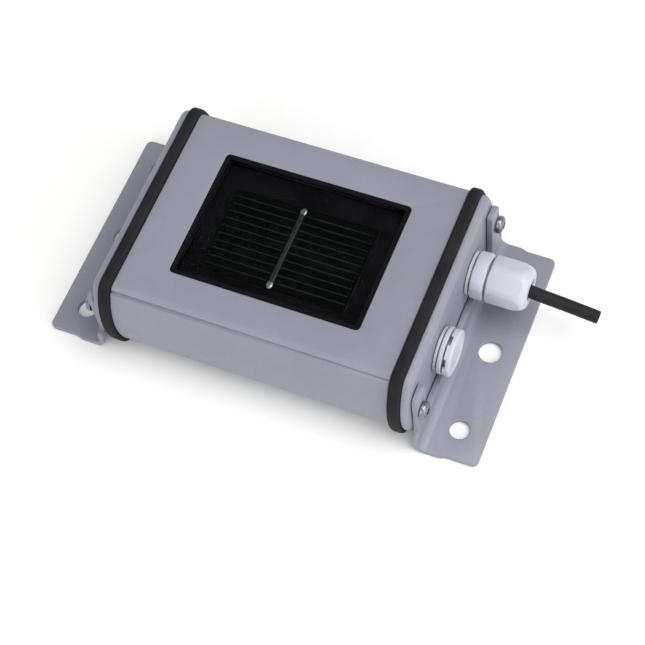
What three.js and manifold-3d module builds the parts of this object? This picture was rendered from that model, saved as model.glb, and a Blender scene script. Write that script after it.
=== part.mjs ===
// Solar irradiance sensor: a reference cell under glass in an extruded aluminium housing.
// Millimetres. X runs along the extrusion, the cable leaves at +X, and Z is up.
// The origin is on the mounting plane, under the middle of the housing.
import * as THREE from "three";
import { mergeVertices } from "three/addons/utils/BufferGeometryUtils.js";
import Module from "manifold-3d";

const wasm = await Module();
wasm.setup();

// ---------- driving dimensions ----------
const OVERALL_LENGTH = 155; // across the two mounting flanges
const OVERALL_WIDTH = 85; // across the end gaskets
const OVERALL_HEIGHT = 39; // mounting plane to the top of the gaskets
const GAP = 0.3; // clearance where two pieces touch
const SEAT = 0.1; // solder or adhesive under a piece that lies flat on another

// Cross-section shared by the gaskets, the housing and the end caps
const GASKET_FLOOR = 1.5; // underside of the gaskets above the mounting plane
const GASKET_PROUD = 1.5; // how far the gaskets stand out of the housing
const SIDE_RADIUS = 34;
const CORNER_RADIUS = 5.5;
const WALL = 2;

// Stack along X, from the middle to either end
const HOUSING_HALF = 48.2;
const GASKET_THICKNESS = 3.6;
const CAP_THICKNESS = 2.9;
const CAP_ROUND = 1.6;
const GASKET_START = HOUSING_HALF + GAP;
const CAP_START = GASKET_START + GASKET_THICKNESS + GAP;
const CAP_FACE = CAP_START + CAP_THICKNESS;

// Window and the cell laminate in it
const WINDOW_LENGTH = 66;
const WINDOW_WIDTH = 48;
const WINDOW_CORNER = 1.5;
const SEALANT_WIDTH = 0.6;
const GLASS_THICKNESS = 3;
const GLASS_RECESS = 0.3;
const CELL_LENGTH = 51;
const CELL_WIDTH = 32.5;
const CELL_CENTRE_Y = -2.2;
const CELL_THICKNESS = 0.4;
const RIBBON_WIDTH = 1.8;
const RIBBON_CENTRE_X = -0.8;
const RIBBON_THICKNESS = 0.2;
const BACKSHEET_THICKNESS = 1.2;
const TRAY_RIM = 6;
const TRAY_LEDGE = 4;
const TRAY_FLOOR = 1.3;

// Brackets
const SHEET = 2;
const BEND_INNER = 3;
const FLANGE_WIDTH = 80.8;
const BEND_WIDTH = 82.4;
const BEND_WIDTH_REACH = 5.5; // how far the wider part runs out along the flange
const LEG_TOP = 9;
const EAR_TOP = 31;
const EAR_INSIDE = 31.5;
const EAR_OUTSIDE = 38.4;
const EAR_CORNER = 3;
const FLANGE_HOLE_X = 68;
const FLANGE_HOLES = [
  { y: 0, radius: 4 },
  { y: -30, radius: 3.4 },
  { y: 30, radius: 3.4 },
];

// Cap screws
const SCREW_Y = 36;
const SCREW_Z = 22;
const SCREW_RADIUS = 1.5;
const SCREW_HEAD_RADIUS = 3;
const SCREW_HEAD = 2.3;
const SCREW_LENGTH = 16;
const BOSS_RADIUS = 3.4;

// Cable gland
const GLAND_Y = 17;
const GLAND_Z = 19.5;
const STUD_RADIUS = 5.9;
const HEX_ACROSS_FLATS = 15;
const GLAND_ROUND = 8.1; // radius that the hexagon corners are turned down to
const GLAND_BORE = 3;
const SEAL_CHAMBER = 4.9;
const GLAND_HEX = 4.8;
const GLAND_UPPER_STUD = 5.4;
const DOME_NUT_LENGTH = 13.8;
const DOME_NUT_HOLE = 3.5;

// Pressure vent
const VENT_Y = -13;
const VENT_Z = 20;
const VENT_RADIUS = 8;
const VENT_BORE = 2.4;
const VENT_SLOTS = 6;

// Circuit board
const BOARD_LENGTH = 88;
const BOARD_WIDTH = 72.8;
const BOARD_THICKNESS = 1.6;
const BOARD_Z = 12;
const GUIDE_THICKNESS = 1.2;

// Cable
const CABLE_RADIUS = 2.2;
const CABLE_STRIPPED_X = 38;
const CORE_RADIUS = 0.65;
const CORE_COUNT = 4;
const TERMINAL_PITCH = 3.5;
const TERMINAL_X = 26;

// Values that follow from the driving dimensions
const SECTION_HALF_WIDTH = OVERALL_WIDTH / 2;
const SECTION_HALF_HEIGHT = (OVERALL_HEIGHT - GASKET_FLOOR) / 2;
const SECTION_Z = GASKET_FLOOR + SECTION_HALF_HEIGHT;
const HOUSING_TOP = OVERALL_HEIGHT - GASKET_PROUD;
const LEG_START = CAP_FACE + GAP;
const LEG_END = LEG_START + SHEET;
const BEND_OUTER = BEND_INNER + SHEET;
const FLANGE_END = OVERALL_LENGTH / 2;
const GLASS_TOP = HOUSING_TOP - GLASS_RECESS;
const GLASS_BOTTOM = GLASS_TOP - GLASS_THICKNESS;
const CELL_TOP = GLASS_BOTTOM - GAP;
const CELL_BOTTOM = CELL_TOP - CELL_THICKNESS;
const BACKSHEET_TOP = CELL_BOTTOM - GAP;
const BACKSHEET_BOTTOM = BACKSHEET_TOP - BACKSHEET_THICKNESS;
const LAMINATE_LENGTH = WINDOW_LENGTH - 2 * (SEALANT_WIDTH + 2 * GAP);
const LAMINATE_WIDTH = WINDOW_WIDTH - 2 * (SEALANT_WIDTH + 2 * GAP);
const BOARD_TOP = BOARD_Z + BOARD_THICKNESS;
const PARTS_Z = BOARD_TOP + SEAT;
const HEX_RADIUS = HEX_ACROSS_FLATS / Math.sqrt(3);

// Radial clearance of a piece that another one passes through
const SCREW_HOLE = SCREW_RADIUS + GAP;
const STUD_HOLE = STUD_RADIUS + GAP;

// ---------- materials ----------
const finish = (color, roughness, metalness = 0) =>
  new THREE.MeshStandardMaterial({ color, roughness, metalness });

const COATED_ALUMINIUM = finish(0x979aa6, 0.5, 0.2);
const BLACK_RUBBER = finish(0x1c1c1f, 0.75);
const STEEL = finish(0x9a9ca1, 0.35, 1);
const PALE_NYLON = finish(0xdcdde6, 0.45);
const PALE_RUBBER = finish(0xbcbdc1, 0.8);
const MEMBRANE = finish(0xf0f0ea, 0.9);
const COVER_GLASS = finish(0x0d1512, 0.08);
const SILICON = finish(0x0c1113, 0.25);
const TINNED_COPPER = finish(0xb9bcc0, 0.3, 1);
const BLACK_SHEET = finish(0x16151a, 0.6);
const TRAY_PLASTIC = finish(0x2a2a2e, 0.7);
const BOARD_GREEN = finish(0x1d5a34, 0.5);
const CHIP_BLACK = finish(0x1a1a1c, 0.55);
const CERAMIC = finish(0xe4e2da, 0.6);
const TERMINAL_GREEN = finish(0x2f8f4e, 0.5);
const CABLE_BLACK = finish(0x202024, 0.6);
const CORE_COLOURS = [0xa32a24, 0x202022, 0xc9762a, 0x7a4a2a];

// ---------- solids: joining and cutting ----------
function solidOf(geometry) {
  const plain = geometry.clone();
  plain.deleteAttribute("normal");
  plain.deleteAttribute("uv");
  const merged = mergeVertices(plain, 1e-4);
  return new wasm.Manifold(
    new wasm.Mesh({
      numProp: 3,
      vertProperties: merged.attributes.position.array,
      triVerts: new Uint32Array(merged.index.array),
    }),
  );
}

function geometryOf(solid) {
  const mesh = solid.getMesh();
  const geometry = new THREE.BufferGeometry();
  geometry.setAttribute("position", new THREE.BufferAttribute(mesh.vertProperties, 3));
  geometry.setIndex(new THREE.BufferAttribute(mesh.triVerts, 1));
  geometry.computeVertexNormals();
  return geometry;
}

function cut(body, ...tools) {
  return geometryOf(tools.reduce((solid, tool) => solid.subtract(solidOf(tool)), solidOf(body)));
}

function join(body, ...others) {
  return geometryOf(others.reduce((solid, other) => solid.add(solidOf(other)), solidOf(body)));
}

// ---------- basic shapes ----------
// A block from one corner to the opposite one.
function block([x0, y0, z0], [x1, y1, z1]) {
  const geometry = new THREE.BoxGeometry(x1 - x0, y1 - y0, z1 - z0);
  return geometry.translate((x0 + x1) / 2, (y0 + y1) / 2, (z0 + z1) / 2);
}

// A round or, with few sides, a hexagonal bar along X.
function barX(radius, x0, x1, y, z, sides = 24) {
  const geometry = new THREE.CylinderGeometry(radius, radius, x1 - x0, sides);
  return geometry.rotateZ(-Math.PI / 2).translate((x0 + x1) / 2, y, z);
}

function barZ(radius, z0, z1, x, y, sides = 24) {
  const geometry = new THREE.CylinderGeometry(radius, radius, z1 - z0, sides);
  return geometry.rotateX(Math.PI / 2).translate(x, y, (z0 + z1) / 2);
}

// A shape drawn in (y, z), extruded along X.
function extrudeX(shape, x0, x1, options = {}) {
  const geometry = new THREE.ExtrudeGeometry(shape, {
    depth: x1 - x0,
    bevelEnabled: false,
    curveSegments: 4,
    ...options,
  });
  const axes = new THREE.Matrix4().makeBasis(
    new THREE.Vector3(0, 1, 0),
    new THREE.Vector3(0, 0, 1),
    new THREE.Vector3(1, 0, 0),
  );
  return geometry.applyMatrix4(axes).translate(x0, 0, 0);
}

function extrudeZ(shape, z0, z1) {
  const settings = { depth: z1 - z0, bevelEnabled: false, curveSegments: 3 };
  return new THREE.ExtrudeGeometry(shape, settings).translate(0, 0, z0);
}

// A profile of [radius, x] points turned about an axis along X.
function turnedX(profile, y, z, sides = 24) {
  const points = profile.map(([radius, x]) => new THREE.Vector2(radius, x));
  const geometry = new THREE.LatheGeometry(points, sides);
  return geometry.rotateZ(-Math.PI / 2).translate(0, y, z);
}

// A ring between two radii and two places along X.
function ringX(inner, outer, x0, x1, y, z, sides = 24) {
  const profile = [
    [inner, x0],
    [outer, x0],
    [outer, x1],
    [inner, x1],
    [inner, x0],
  ];
  return turnedX(profile, y, z, sides);
}

// A rectangle with round corners, centred on (x, y).
function roundedRectangle(length, width, radius, x = 0, y = 0) {
  const shape = new THREE.Shape();
  const right = x + length / 2 - radius;
  const left = x - length / 2 + radius;
  const back = y + width / 2 - radius;
  const front = y - width / 2 + radius;
  shape.moveTo(right, front - radius);
  shape.absarc(right, front, radius, -Math.PI / 2, 0, false);
  shape.absarc(right, back, radius, 0, Math.PI / 2, false);
  shape.absarc(left, back, radius, Math.PI / 2, Math.PI, false);
  shape.absarc(left, front, radius, Math.PI, 1.5 * Math.PI, false);
  return shape;
}

// A round wire along a smooth curve through the points.
function wire(points, radius, sides, steps) {
  const path = new THREE.CatmullRomCurve3(points.map((point) => new THREE.Vector3(...point)));
  const ring = new THREE.Shape();
  for (let i = 0; i < sides; i++) {
    const angle = (2 * Math.PI * i) / sides;
    const [x, y] = [radius * Math.cos(angle), radius * Math.sin(angle)];
    if (i === 0) ring.moveTo(x, y);
    else ring.lineTo(x, y);
  }
  return new THREE.ExtrudeGeometry(ring, { steps, extrudePath: path });
}

// The bowed cross-section of the gasket, or of a piece that lies inset from it.
function section(inset) {
  const halfHeight = SECTION_HALF_HEIGHT - inset;
  const side = SIDE_RADIUS - inset;
  const corner = Math.max(CORNER_RADIUS - inset, 0.5);
  const sideY = SECTION_HALF_WIDTH - SIDE_RADIUS;
  const cornerZ = halfHeight - corner;
  const cornerY = sideY + Math.sqrt((side - corner) ** 2 - cornerZ ** 2);
  const turn = Math.atan2(cornerZ, cornerY - sideY);
  const low = SECTION_Z - cornerZ;
  const high = SECTION_Z + cornerZ;
  const shape = new THREE.Shape();
  shape.moveTo(-cornerY, high + corner);
  shape.absarc(cornerY, high, corner, Math.PI / 2, turn, true);
  shape.absarc(sideY, SECTION_Z, side, turn, -turn, true);
  shape.absarc(cornerY, low, corner, -turn, -Math.PI / 2, true);
  shape.absarc(-cornerY, low, corner, -Math.PI / 2, turn - Math.PI, true);
  shape.absarc(-sideY, SECTION_Z, side, Math.PI + turn, Math.PI - turn, true);
  shape.absarc(-cornerY, high, corner, Math.PI - turn, Math.PI / 2, true);
  return shape;
}

// One tool for each of the two cap screws of an end.
const atScrews = (make) => [-1, 1].map((side) => make(side * SCREW_Y, SCREW_Z));

// ---------- housing, gaskets and end caps ----------
function housing() {
  const inset = GASKET_PROUD + WALL;
  const [x0, x1] = [-HOUSING_HALF, HOUSING_HALF];
  const past = 1;
  const tube = cut(
    extrudeX(section(GASKET_PROUD), x0, x1),
    extrudeX(section(inset), x0 - past, x1 + past),
  );
  const bosses = atScrews((y, z) => barX(BOSS_RADIUS, x0, x1, y, z, 16));
  const ribbed = join(tube, ...bosses, ...boardGuides(x0, x1));
  const pilots = atScrews((y, z) => barX(SCREW_HOLE, x0 - past, x1 + past, y, z, 12));
  const opening = extrudeZ(
    roundedRectangle(WINDOW_LENGTH, WINDOW_WIDTH, WINDOW_CORNER),
    HOUSING_TOP - WALL - past,
    HOUSING_TOP + past,
  );
  return cut(ribbed, ...pilots, opening, ...cornerGrooves(x0 - past, x1 + past));
}

// Two ribs on each side wall with a slot between them for the circuit board.
function boardGuides(x0, x1) {
  const ribReach = 34.6;
  const ribRoot = 38.6;
  const lower = BOARD_Z - GAP;
  const upper = BOARD_TOP + GAP;
  const ribs = [];
  for (const side of [-1, 1]) {
    const [y0, y1] = [side * ribReach, side * ribRoot].sort((a, b) => a - b);
    ribs.push(block([x0, y0, lower - GUIDE_THICKNESS], [x1, y1, lower]));
    ribs.push(block([x0, y0, upper], [x1, y1, upper + GUIDE_THICKNESS]));
  }
  return ribs;
}

// A small V-groove along each upper corner of the extrusion.
function cornerGrooves(x0, x1) {
  const grooveY = 36.7;
  const grooveZ = 36.2;
  const size = 1.4;
  return [-1, 1].map((side) => {
    const bar = new THREE.BoxGeometry(x1 - x0, size, size);
    return bar.rotateX((side * Math.PI) / 180).translate((x0 + x1) / 2, side * grooveY, grooveZ);
  });
}

function gasket() {
  const x0 = GASKET_START;
  const x1 = GASKET_START + GASKET_THICKNESS;
  const past = 1;
  const lip = GASKET_PROUD + WALL + 1;
  const ring = cut(extrudeX(section(0), x0, x1), extrudeX(section(lip), x0 - past, x1 + past));
  const lobes = atScrews((y, z) => barX(BOSS_RADIUS, x0, x1, y, z, 16));
  const holes = atScrews((y, z) => barX(SCREW_HOLE, x0 - past, x1 + past, y, z, 12));
  return cut(join(ring, ...lobes), ...holes);
}

function endCap(holes) {
  const bevel = {
    bevelEnabled: true,
    bevelThickness: CAP_ROUND,
    bevelSize: CAP_ROUND,
    bevelOffset: -CAP_ROUND,
    bevelSegments: 2,
  };
  const inner = CAP_START - 2 * CAP_ROUND;
  const plate = extrudeX(section(GASKET_PROUD), inner, CAP_FACE - CAP_ROUND, bevel);
  const reach = OVERALL_WIDTH;
  const waste = block([0, -reach, -reach], [CAP_START, reach, reach]);
  const screwHoles = atScrews((y, z) => barX(SCREW_HOLE, inner, CAP_FACE + 1, y, z, 12));
  return cut(plate, waste, ...screwHoles, ...holes);
}

function capScrew(y, z) {
  const seat = LEG_END + GAP;
  const face = seat + SCREW_HEAD;
  const edge = 0.6;
  const profile = [
    [0, seat - SCREW_LENGTH],
    [SCREW_RADIUS - edge, seat - SCREW_LENGTH],
    [SCREW_RADIUS, seat - SCREW_LENGTH + edge],
    [SCREW_RADIUS, seat],
    [SCREW_HEAD_RADIUS, seat],
    [SCREW_HEAD_RADIUS, face - 2 * edge],
    [SCREW_HEAD_RADIUS - edge, face - edge / 2],
    [SCREW_HEAD_RADIUS - 2 * edge, face],
    [0, face],
  ];
  const recessRadius = 1.3;
  const recess = barX(recessRadius, face - 1.2, face + 1, y, z, 6);
  return cut(turnedX(profile, y, z, 16), recess);
}

// ---------- brackets ----------
// Bent sheet: an upright leg with two ears for the cap screws, a bend, and a flange.
function bracket() {
  const bendX = LEG_START + BEND_OUTER;
  const profile = new THREE.Shape();
  profile.moveTo(LEG_START, EAR_TOP);
  profile.lineTo(LEG_START, BEND_OUTER);
  profile.absarc(bendX, BEND_OUTER, BEND_OUTER, Math.PI, 1.5 * Math.PI, false);
  profile.lineTo(FLANGE_END, 0);
  profile.lineTo(FLANGE_END, SHEET);
  profile.lineTo(bendX, SHEET);
  profile.absarc(bendX, BEND_OUTER, BEND_INNER, 1.5 * Math.PI, Math.PI, true);
  profile.lineTo(LEG_END, EAR_TOP);
  const settings = { depth: BEND_WIDTH, bevelEnabled: false, curveSegments: 4 };
  const sheet = new THREE.ExtrudeGeometry(profile, settings);
  sheet.rotateX(Math.PI / 2).translate(0, BEND_WIDTH / 2, 0);
  const holes = FLANGE_HOLES.map(({ y, radius }) => barZ(radius, -1, SHEET + 1, FLANGE_HOLE_X, y));
  const screwHoles = atScrews((y, z) => barX(SCREW_HOLE, LEG_START - 1, LEG_END + 1, y, z, 12));
  return cut(sheet, ...holes, ...screwHoles, legWaste(), ...flangeWaste(bendX + BEND_WIDTH_REACH));
}

// What is cut from the leg: all but a low web and the two ears, whose upper corners are round.
function legWaste() {
  const reach = OVERALL_WIDTH / 2 + 1;
  const top = EAR_TOP + 1;
  const waste = new THREE.Shape();
  waste.moveTo(-reach, LEG_TOP - 1);
  waste.lineTo(-reach, top);
  waste.lineTo(reach, top);
  waste.lineTo(reach, LEG_TOP - 1);
  waste.lineTo(EAR_OUTSIDE, LEG_TOP + 1);
  waste.lineTo(EAR_OUTSIDE, EAR_TOP - EAR_CORNER);
  waste.absarc(EAR_OUTSIDE - EAR_CORNER, EAR_TOP - EAR_CORNER, EAR_CORNER, 0, Math.PI / 2, false);
  waste.lineTo(EAR_INSIDE + 1, EAR_TOP);
  waste.lineTo(EAR_INSIDE, EAR_TOP - 1);
  waste.lineTo(EAR_INSIDE, LEG_TOP + EAR_CORNER);
  waste.absarc(EAR_INSIDE - EAR_CORNER, LEG_TOP + EAR_CORNER, EAR_CORNER, 0, -Math.PI / 2, true);
  waste.absarc(
    EAR_CORNER - EAR_INSIDE,
    LEG_TOP + EAR_CORNER,
    EAR_CORNER,
    -Math.PI / 2,
    -Math.PI,
    true,
  );
  waste.lineTo(-EAR_INSIDE, EAR_TOP - 1);
  waste.lineTo(-EAR_INSIDE - 1, EAR_TOP);
  waste.absarc(
    EAR_CORNER - EAR_OUTSIDE,
    EAR_TOP - EAR_CORNER,
    EAR_CORNER,
    Math.PI / 2,
    Math.PI,
    false,
  );
  waste.lineTo(-EAR_OUTSIDE, LEG_TOP + 1);
  return extrudeX(waste, LEG_START - 1, LEG_END + 1);
}

// The flange is a little narrower than the bend, and its outer corners are round.
function flangeWaste(shoulderX) {
  const corner = 2;
  const past = 2;
  return [-1, 1].map((side) => {
    const edge = (side * FLANGE_WIDTH) / 2;
    const outside = side * (BEND_WIDTH / 2 + past);
    const shape = new THREE.Shape();
    shape.moveTo(shoulderX - 1, side * (BEND_WIDTH / 2));
    shape.lineTo(shoulderX + 1, edge);
    shape.lineTo(FLANGE_END - corner, edge);
    shape.quadraticCurveTo(FLANGE_END, edge, FLANGE_END, edge - side * corner);
    shape.lineTo(FLANGE_END + past, edge - side * corner);
    shape.lineTo(FLANGE_END + past, outside);
    shape.lineTo(shoulderX - 1, outside);
    return extrudeZ(shape, -1, SHEET + 1);
  });
}

// ---------- window laminate ----------
function rectangleRing(outerLength, outerWidth, thickness, corner, z0, z1) {
  const outer = roundedRectangle(outerLength, outerWidth, corner);
  const inner = roundedRectangle(
    outerLength - 2 * thickness,
    outerWidth - 2 * thickness,
    Math.max(corner - thickness, 0.4),
  );
  return cut(extrudeZ(outer, z0, z1), extrudeZ(inner, z0 - 1, z1 + 1));
}

function windowSealant() {
  const top = HOUSING_TOP - 0.1;
  const length = WINDOW_LENGTH - 2 * GAP;
  const width = WINDOW_WIDTH - 2 * GAP;
  return rectangleRing(length, width, SEALANT_WIDTH, WINDOW_CORNER, HOUSING_TOP - WALL, top);
}

function coverGlass() {
  return extrudeZ(roundedRectangle(LAMINATE_LENGTH, LAMINATE_WIDTH, 0.6), GLASS_BOTTOM, GLASS_TOP);
}

function solarCell() {
  const shape = roundedRectangle(CELL_LENGTH, CELL_WIDTH, 0.3, 0, CELL_CENTRE_Y);
  return extrudeZ(shape, CELL_BOTTOM, CELL_TOP);
}

function cellRibbon(bottom) {
  const half = CELL_WIDTH / 2 - 0.4;
  return block(
    [RIBBON_CENTRE_X - RIBBON_WIDTH / 2, CELL_CENTRE_Y - half, bottom],
    [RIBBON_CENTRE_X + RIBBON_WIDTH / 2, CELL_CENTRE_Y + half, bottom + RIBBON_THICKNESS],
  );
}

const LEAD_PLACES = [
  { name: "cell_lead_positive", x: 3, y: 10, boardX: 10, boardY: 6, colour: 0xa32a24 },
  { name: "cell_lead_negative", x: -3, y: -14, boardX: 4, boardY: -12, colour: 0x1f1f22 },
];

function backsheet() {
  const sheet = extrudeZ(
    roundedRectangle(LAMINATE_LENGTH, LAMINATE_WIDTH, 0.6),
    BACKSHEET_BOTTOM,
    BACKSHEET_TOP,
  );
  const holes = LEAD_PLACES.map(({ x, y }) => {
    return barZ(CORE_RADIUS + GAP, BACKSHEET_BOTTOM - 1, BACKSHEET_TOP + 1, x, y, 12);
  });
  return cut(sheet, ...holes);
}

// The tray is bonded under the top wall and carries the laminate on a ledge.
function laminateTray() {
  const top = HOUSING_TOP - WALL - GAP;
  const ledgeTop = BACKSHEET_BOTTOM - GAP;
  const bottom = ledgeTop - TRAY_FLOOR;
  const pocketLength = LAMINATE_LENGTH + 2 * GAP;
  const pocketWidth = LAMINATE_WIDTH + 2 * GAP;
  const outer = roundedRectangle(pocketLength + 2 * TRAY_RIM, pocketWidth + 2 * TRAY_RIM, 3);
  const pocket = roundedRectangle(pocketLength, pocketWidth, 0.6);
  const hole = roundedRectangle(pocketLength - 2 * TRAY_LEDGE, pocketWidth - 2 * TRAY_LEDGE, 2);
  return cut(
    extrudeZ(outer, bottom, top),
    extrudeZ(pocket, ledgeTop, top + 1),
    extrudeZ(hole, bottom - 1, ledgeTop + 1),
  );
}

function cellLead({ x, y, boardX, boardY }) {
  const start = BACKSHEET_BOTTOM - 0.2;
  const points = [
    [x, y, start],
    [x, y, start - 4],
    [(x + boardX) / 2, (y + boardY) / 2, (start + PARTS_Z) / 2],
    [boardX, boardY, PARTS_Z + 4],
    [boardX, boardY, PARTS_Z],
  ];
  return wire(points, CORE_RADIUS, 6, 10);
}

// ---------- temperature sensor behind the cell ----------
const TEMPERATURE_X = 14;
const TEMPERATURE_Y = -4;

function temperatureSensor() {
  const top = BACKSHEET_BOTTOM - SEAT;
  return block(
    [TEMPERATURE_X - 3, TEMPERATURE_Y - 1.5, top - 1.4],
    [TEMPERATURE_X + 3, TEMPERATURE_Y + 1.5, top],
  );
}

function temperatureLead(side) {
  const y = TEMPERATURE_Y + side * 0.8;
  const start = BACKSHEET_BOTTOM - SEAT - 0.7;
  const points = [
    [TEMPERATURE_X + 3 + GAP, y, start],
    [TEMPERATURE_X + 5, y, start - 1],
    [TEMPERATURE_X + 6, y + side, (start + PARTS_Z) / 2],
    [TEMPERATURE_X + 3, y + 1.5 * side, PARTS_Z + 3],
    [TEMPERATURE_X + 3, y + 1.5 * side, PARTS_Z],
  ];
  return wire(points, 0.4, 6, 10);
}

// ---------- cable gland ----------
const GLAND_RING = 0.9; // O-ring thickness when pressed
const HEX_START = CAP_FACE + GAP + GLAND_RING + GAP;
const HEX_END = HEX_START + GLAND_HEX;
const CHAMBER_START = HEX_END - 1.6;
const UPPER_STUD_END = HEX_END + GLAND_UPPER_STUD;
const INNER_STUD_START = CAP_START - 8.4;
const LOCK_NUT = 3.8;

function glandBody() {
  const stud = barX(STUD_RADIUS, INNER_STUD_START, UPPER_STUD_END, GLAND_Y, GLAND_Z);
  const flats = barX(HEX_RADIUS, HEX_START, HEX_END, GLAND_Y, GLAND_Z, 6);
  const round = barX(GLAND_ROUND, HEX_START, HEX_END, GLAND_Y, GLAND_Z);
  const hex = geometryOf(solidOf(flats).intersect(solidOf(round)));
  const bore = barX(GLAND_BORE, INNER_STUD_START - 1, CHAMBER_START + 1, GLAND_Y, GLAND_Z, 16);
  const chamber = barX(SEAL_CHAMBER, CHAMBER_START, UPPER_STUD_END + 1, GLAND_Y, GLAND_Z);
  return cut(join(stud, hex), bore, chamber);
}

function lockNut(y, z) {
  const x1 = CAP_START - GAP;
  const hex = barX(HEX_RADIUS, x1 - LOCK_NUT, x1, y, z, 6);
  return cut(hex, barX(STUD_HOLE, x1 - LOCK_NUT - 1, x1 + 1, y, z));
}

function flatSeal(y, z) {
  return ringX(STUD_HOLE, STUD_HOLE + 1.4, CAP_FACE + GAP, CAP_FACE + GAP + GLAND_RING, y, z);
}

const SEAL_START = CHAMBER_START + GAP;
const SEAL_END = SEAL_START + 4.6;
const INSERT_START = SEAL_END + GAP;
const INSERT_END = INSERT_START + 3.2;

function glandSeal() {
  const inner = CABLE_RADIUS + 0.2;
  return ringX(inner, SEAL_CHAMBER - GAP, SEAL_START, SEAL_END, GLAND_Y, GLAND_Z);
}

// The ring of claws that the dome nut presses onto the cable.
function clampingInsert() {
  const inner = CABLE_RADIUS + 0.2;
  const outer = SEAL_CHAMBER - GAP;
  const nose = 3.9;
  const profile = [
    [inner, INSERT_START],
    [outer, INSERT_START],
    [outer, INSERT_END - 1.6],
    [nose, INSERT_END],
    [inner, INSERT_END],
    [inner, INSERT_START],
  ];
  const claws = 8;
  const slotWidth = 0.7;
  const slots = [];
  for (let i = 0; i < claws; i++) {
    const slot = new THREE.BoxGeometry(2.6, 2 * outer, slotWidth);
    slot.translate(0, outer, 0).rotateX((2 * Math.PI * i) / claws + 0.1);
    slots.push(slot.translate(INSERT_END, GLAND_Y, GLAND_Z));
  }
  return cut(turnedX(profile, GLAND_Y, GLAND_Z), ...slots);
}

function domeNut() {
  const x0 = HEX_END + 0.5;
  const x1 = x0 + DOME_NUT_LENGTH;
  const shoulder = x0 + 8;
  const outside = barX(HEX_RADIUS, x0, x1, GLAND_Y, GLAND_Z, 6);
  const envelope = turnedX(domeProfile(x0, shoulder, x1), GLAND_Y, GLAND_Z);
  const body = geometryOf(solidOf(outside).intersect(solidOf(envelope)));
  const threadEnd = UPPER_STUD_END + 1.5;
  const hollow = [
    [0, x0 - 1],
    [STUD_HOLE, x0 - 1],
    [STUD_HOLE, threadEnd],
    [DOME_NUT_HOLE + 1.4, threadEnd + 1.6],
    [DOME_NUT_HOLE, x1 - 3],
    [DOME_NUT_HOLE, x1 + 1],
    [0, x1 + 1],
  ];
  return cut(body, turnedX(hollow, GLAND_Y, GLAND_Z));
}

// Round limits of the dome nut: chamfered at its foot, a quarter ellipse at its crown.
function domeProfile(foot, shoulder, crown) {
  const wide = GLAND_ROUND;
  const narrow = DOME_NUT_HOLE + 2;
  const profile = [
    [0, foot],
    [wide - 0.9, foot],
    [wide, foot + 0.9],
  ];
  const steps = 4;
  for (let i = 0; i <= steps; i++) {
    const angle = (Math.PI / 2) * (i / steps);
    const radius = narrow + (wide - narrow) * Math.cos(angle);
    profile.push([radius, shoulder + (crown - shoulder) * Math.sin(angle)]);
  }
  profile.push([0, crown]);
  return profile;
}

// ---------- pressure vent ----------
const VENT_FLANGE_START = HEX_START;
const VENT_FLANGE_END = VENT_FLANGE_START + 1.6;
const VENT_NECK_END = VENT_FLANGE_END + 1.8;
const VENT_CAP_START = VENT_FLANGE_END + 0.6;
const VENT_CAP_END = 61.2;
const VENT_POCKET = 3.6;

function ventBody() {
  const stud = barX(STUD_RADIUS, INNER_STUD_START + 2, VENT_FLANGE_END, VENT_Y, VENT_Z);
  const flange = barX(VENT_RADIUS, VENT_FLANGE_START, VENT_FLANGE_END, VENT_Y, VENT_Z);
  const neck = barX(VENT_POCKET + 1, VENT_FLANGE_START, VENT_NECK_END, VENT_Y, VENT_Z);
  const bore = barX(VENT_BORE, INNER_STUD_START, VENT_NECK_END + 1, VENT_Y, VENT_Z, 16);
  const pocket = barX(VENT_POCKET, VENT_FLANGE_END, VENT_NECK_END + 1, VENT_Y, VENT_Z);
  return cut(join(stud, flange, neck), bore, pocket);
}

function ventMembrane() {
  const x0 = VENT_FLANGE_END + SEAT;
  return barX(VENT_POCKET - GAP, x0, x0 + 0.4, VENT_Y, VENT_Z, 24);
}

// A shallow cap over the membrane, with air slots round its rim.
function ventCap() {
  const rim = 1.1;
  const roof = VENT_CAP_END - 0.9;
  const bevel = 0.5;
  const profile = [
    [0, roof],
    [VENT_RADIUS - rim, roof],
    [VENT_RADIUS - rim, VENT_CAP_START],
    [VENT_RADIUS, VENT_CAP_START],
    [VENT_RADIUS, VENT_CAP_END - bevel],
    [VENT_RADIUS - bevel, VENT_CAP_END],
    [0, VENT_CAP_END],
  ];
  const slots = [];
  for (let i = 0; i < VENT_SLOTS; i++) {
    const slot = new THREE.BoxGeometry(1.6, 2 * rim + 1, 3.4);
    slot.translate(0, VENT_RADIUS, 0).rotateX((2 * Math.PI * (i + 0.5)) / VENT_SLOTS);
    slots.push(slot.translate(VENT_CAP_START, VENT_Y, VENT_Z));
  }
  return cut(turnedX(profile, VENT_Y, VENT_Z), ...slots);
}

// ---------- circuit board ----------
function circuitBoard() {
  const board = block(
    [-BOARD_LENGTH / 2, -BOARD_WIDTH / 2, BOARD_Z],
    [BOARD_LENGTH / 2, BOARD_WIDTH / 2, BOARD_TOP],
  );
  const holes = [-1, 1].map((side) => {
    return barZ(1.6, BOARD_Z - 1, BOARD_TOP + 1, (side * BOARD_LENGTH) / 2 - side * 5, 0, 12);
  });
  return cut(board, ...holes);
}

// A moulded chip with gull-wing legs along two sides.
function chip(x, y, length, width, height, legs) {
  const body = block(
    [x - length / 2, y - width / 2, PARTS_Z + 0.2],
    [x + length / 2, y + width / 2, PARTS_Z + height],
  );
  const pitch = length / legs;
  const pieces = [];
  for (let i = 0; i < legs; i++) {
    const legX = x - length / 2 + pitch * (i + 0.5);
    const reach = width / 2 + 1.1;
    pieces.push(block([legX - 0.25, y - reach, PARTS_Z], [legX + 0.25, y + reach, PARTS_Z + 0.5]));
  }
  return join(body, ...pieces);
}

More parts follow.
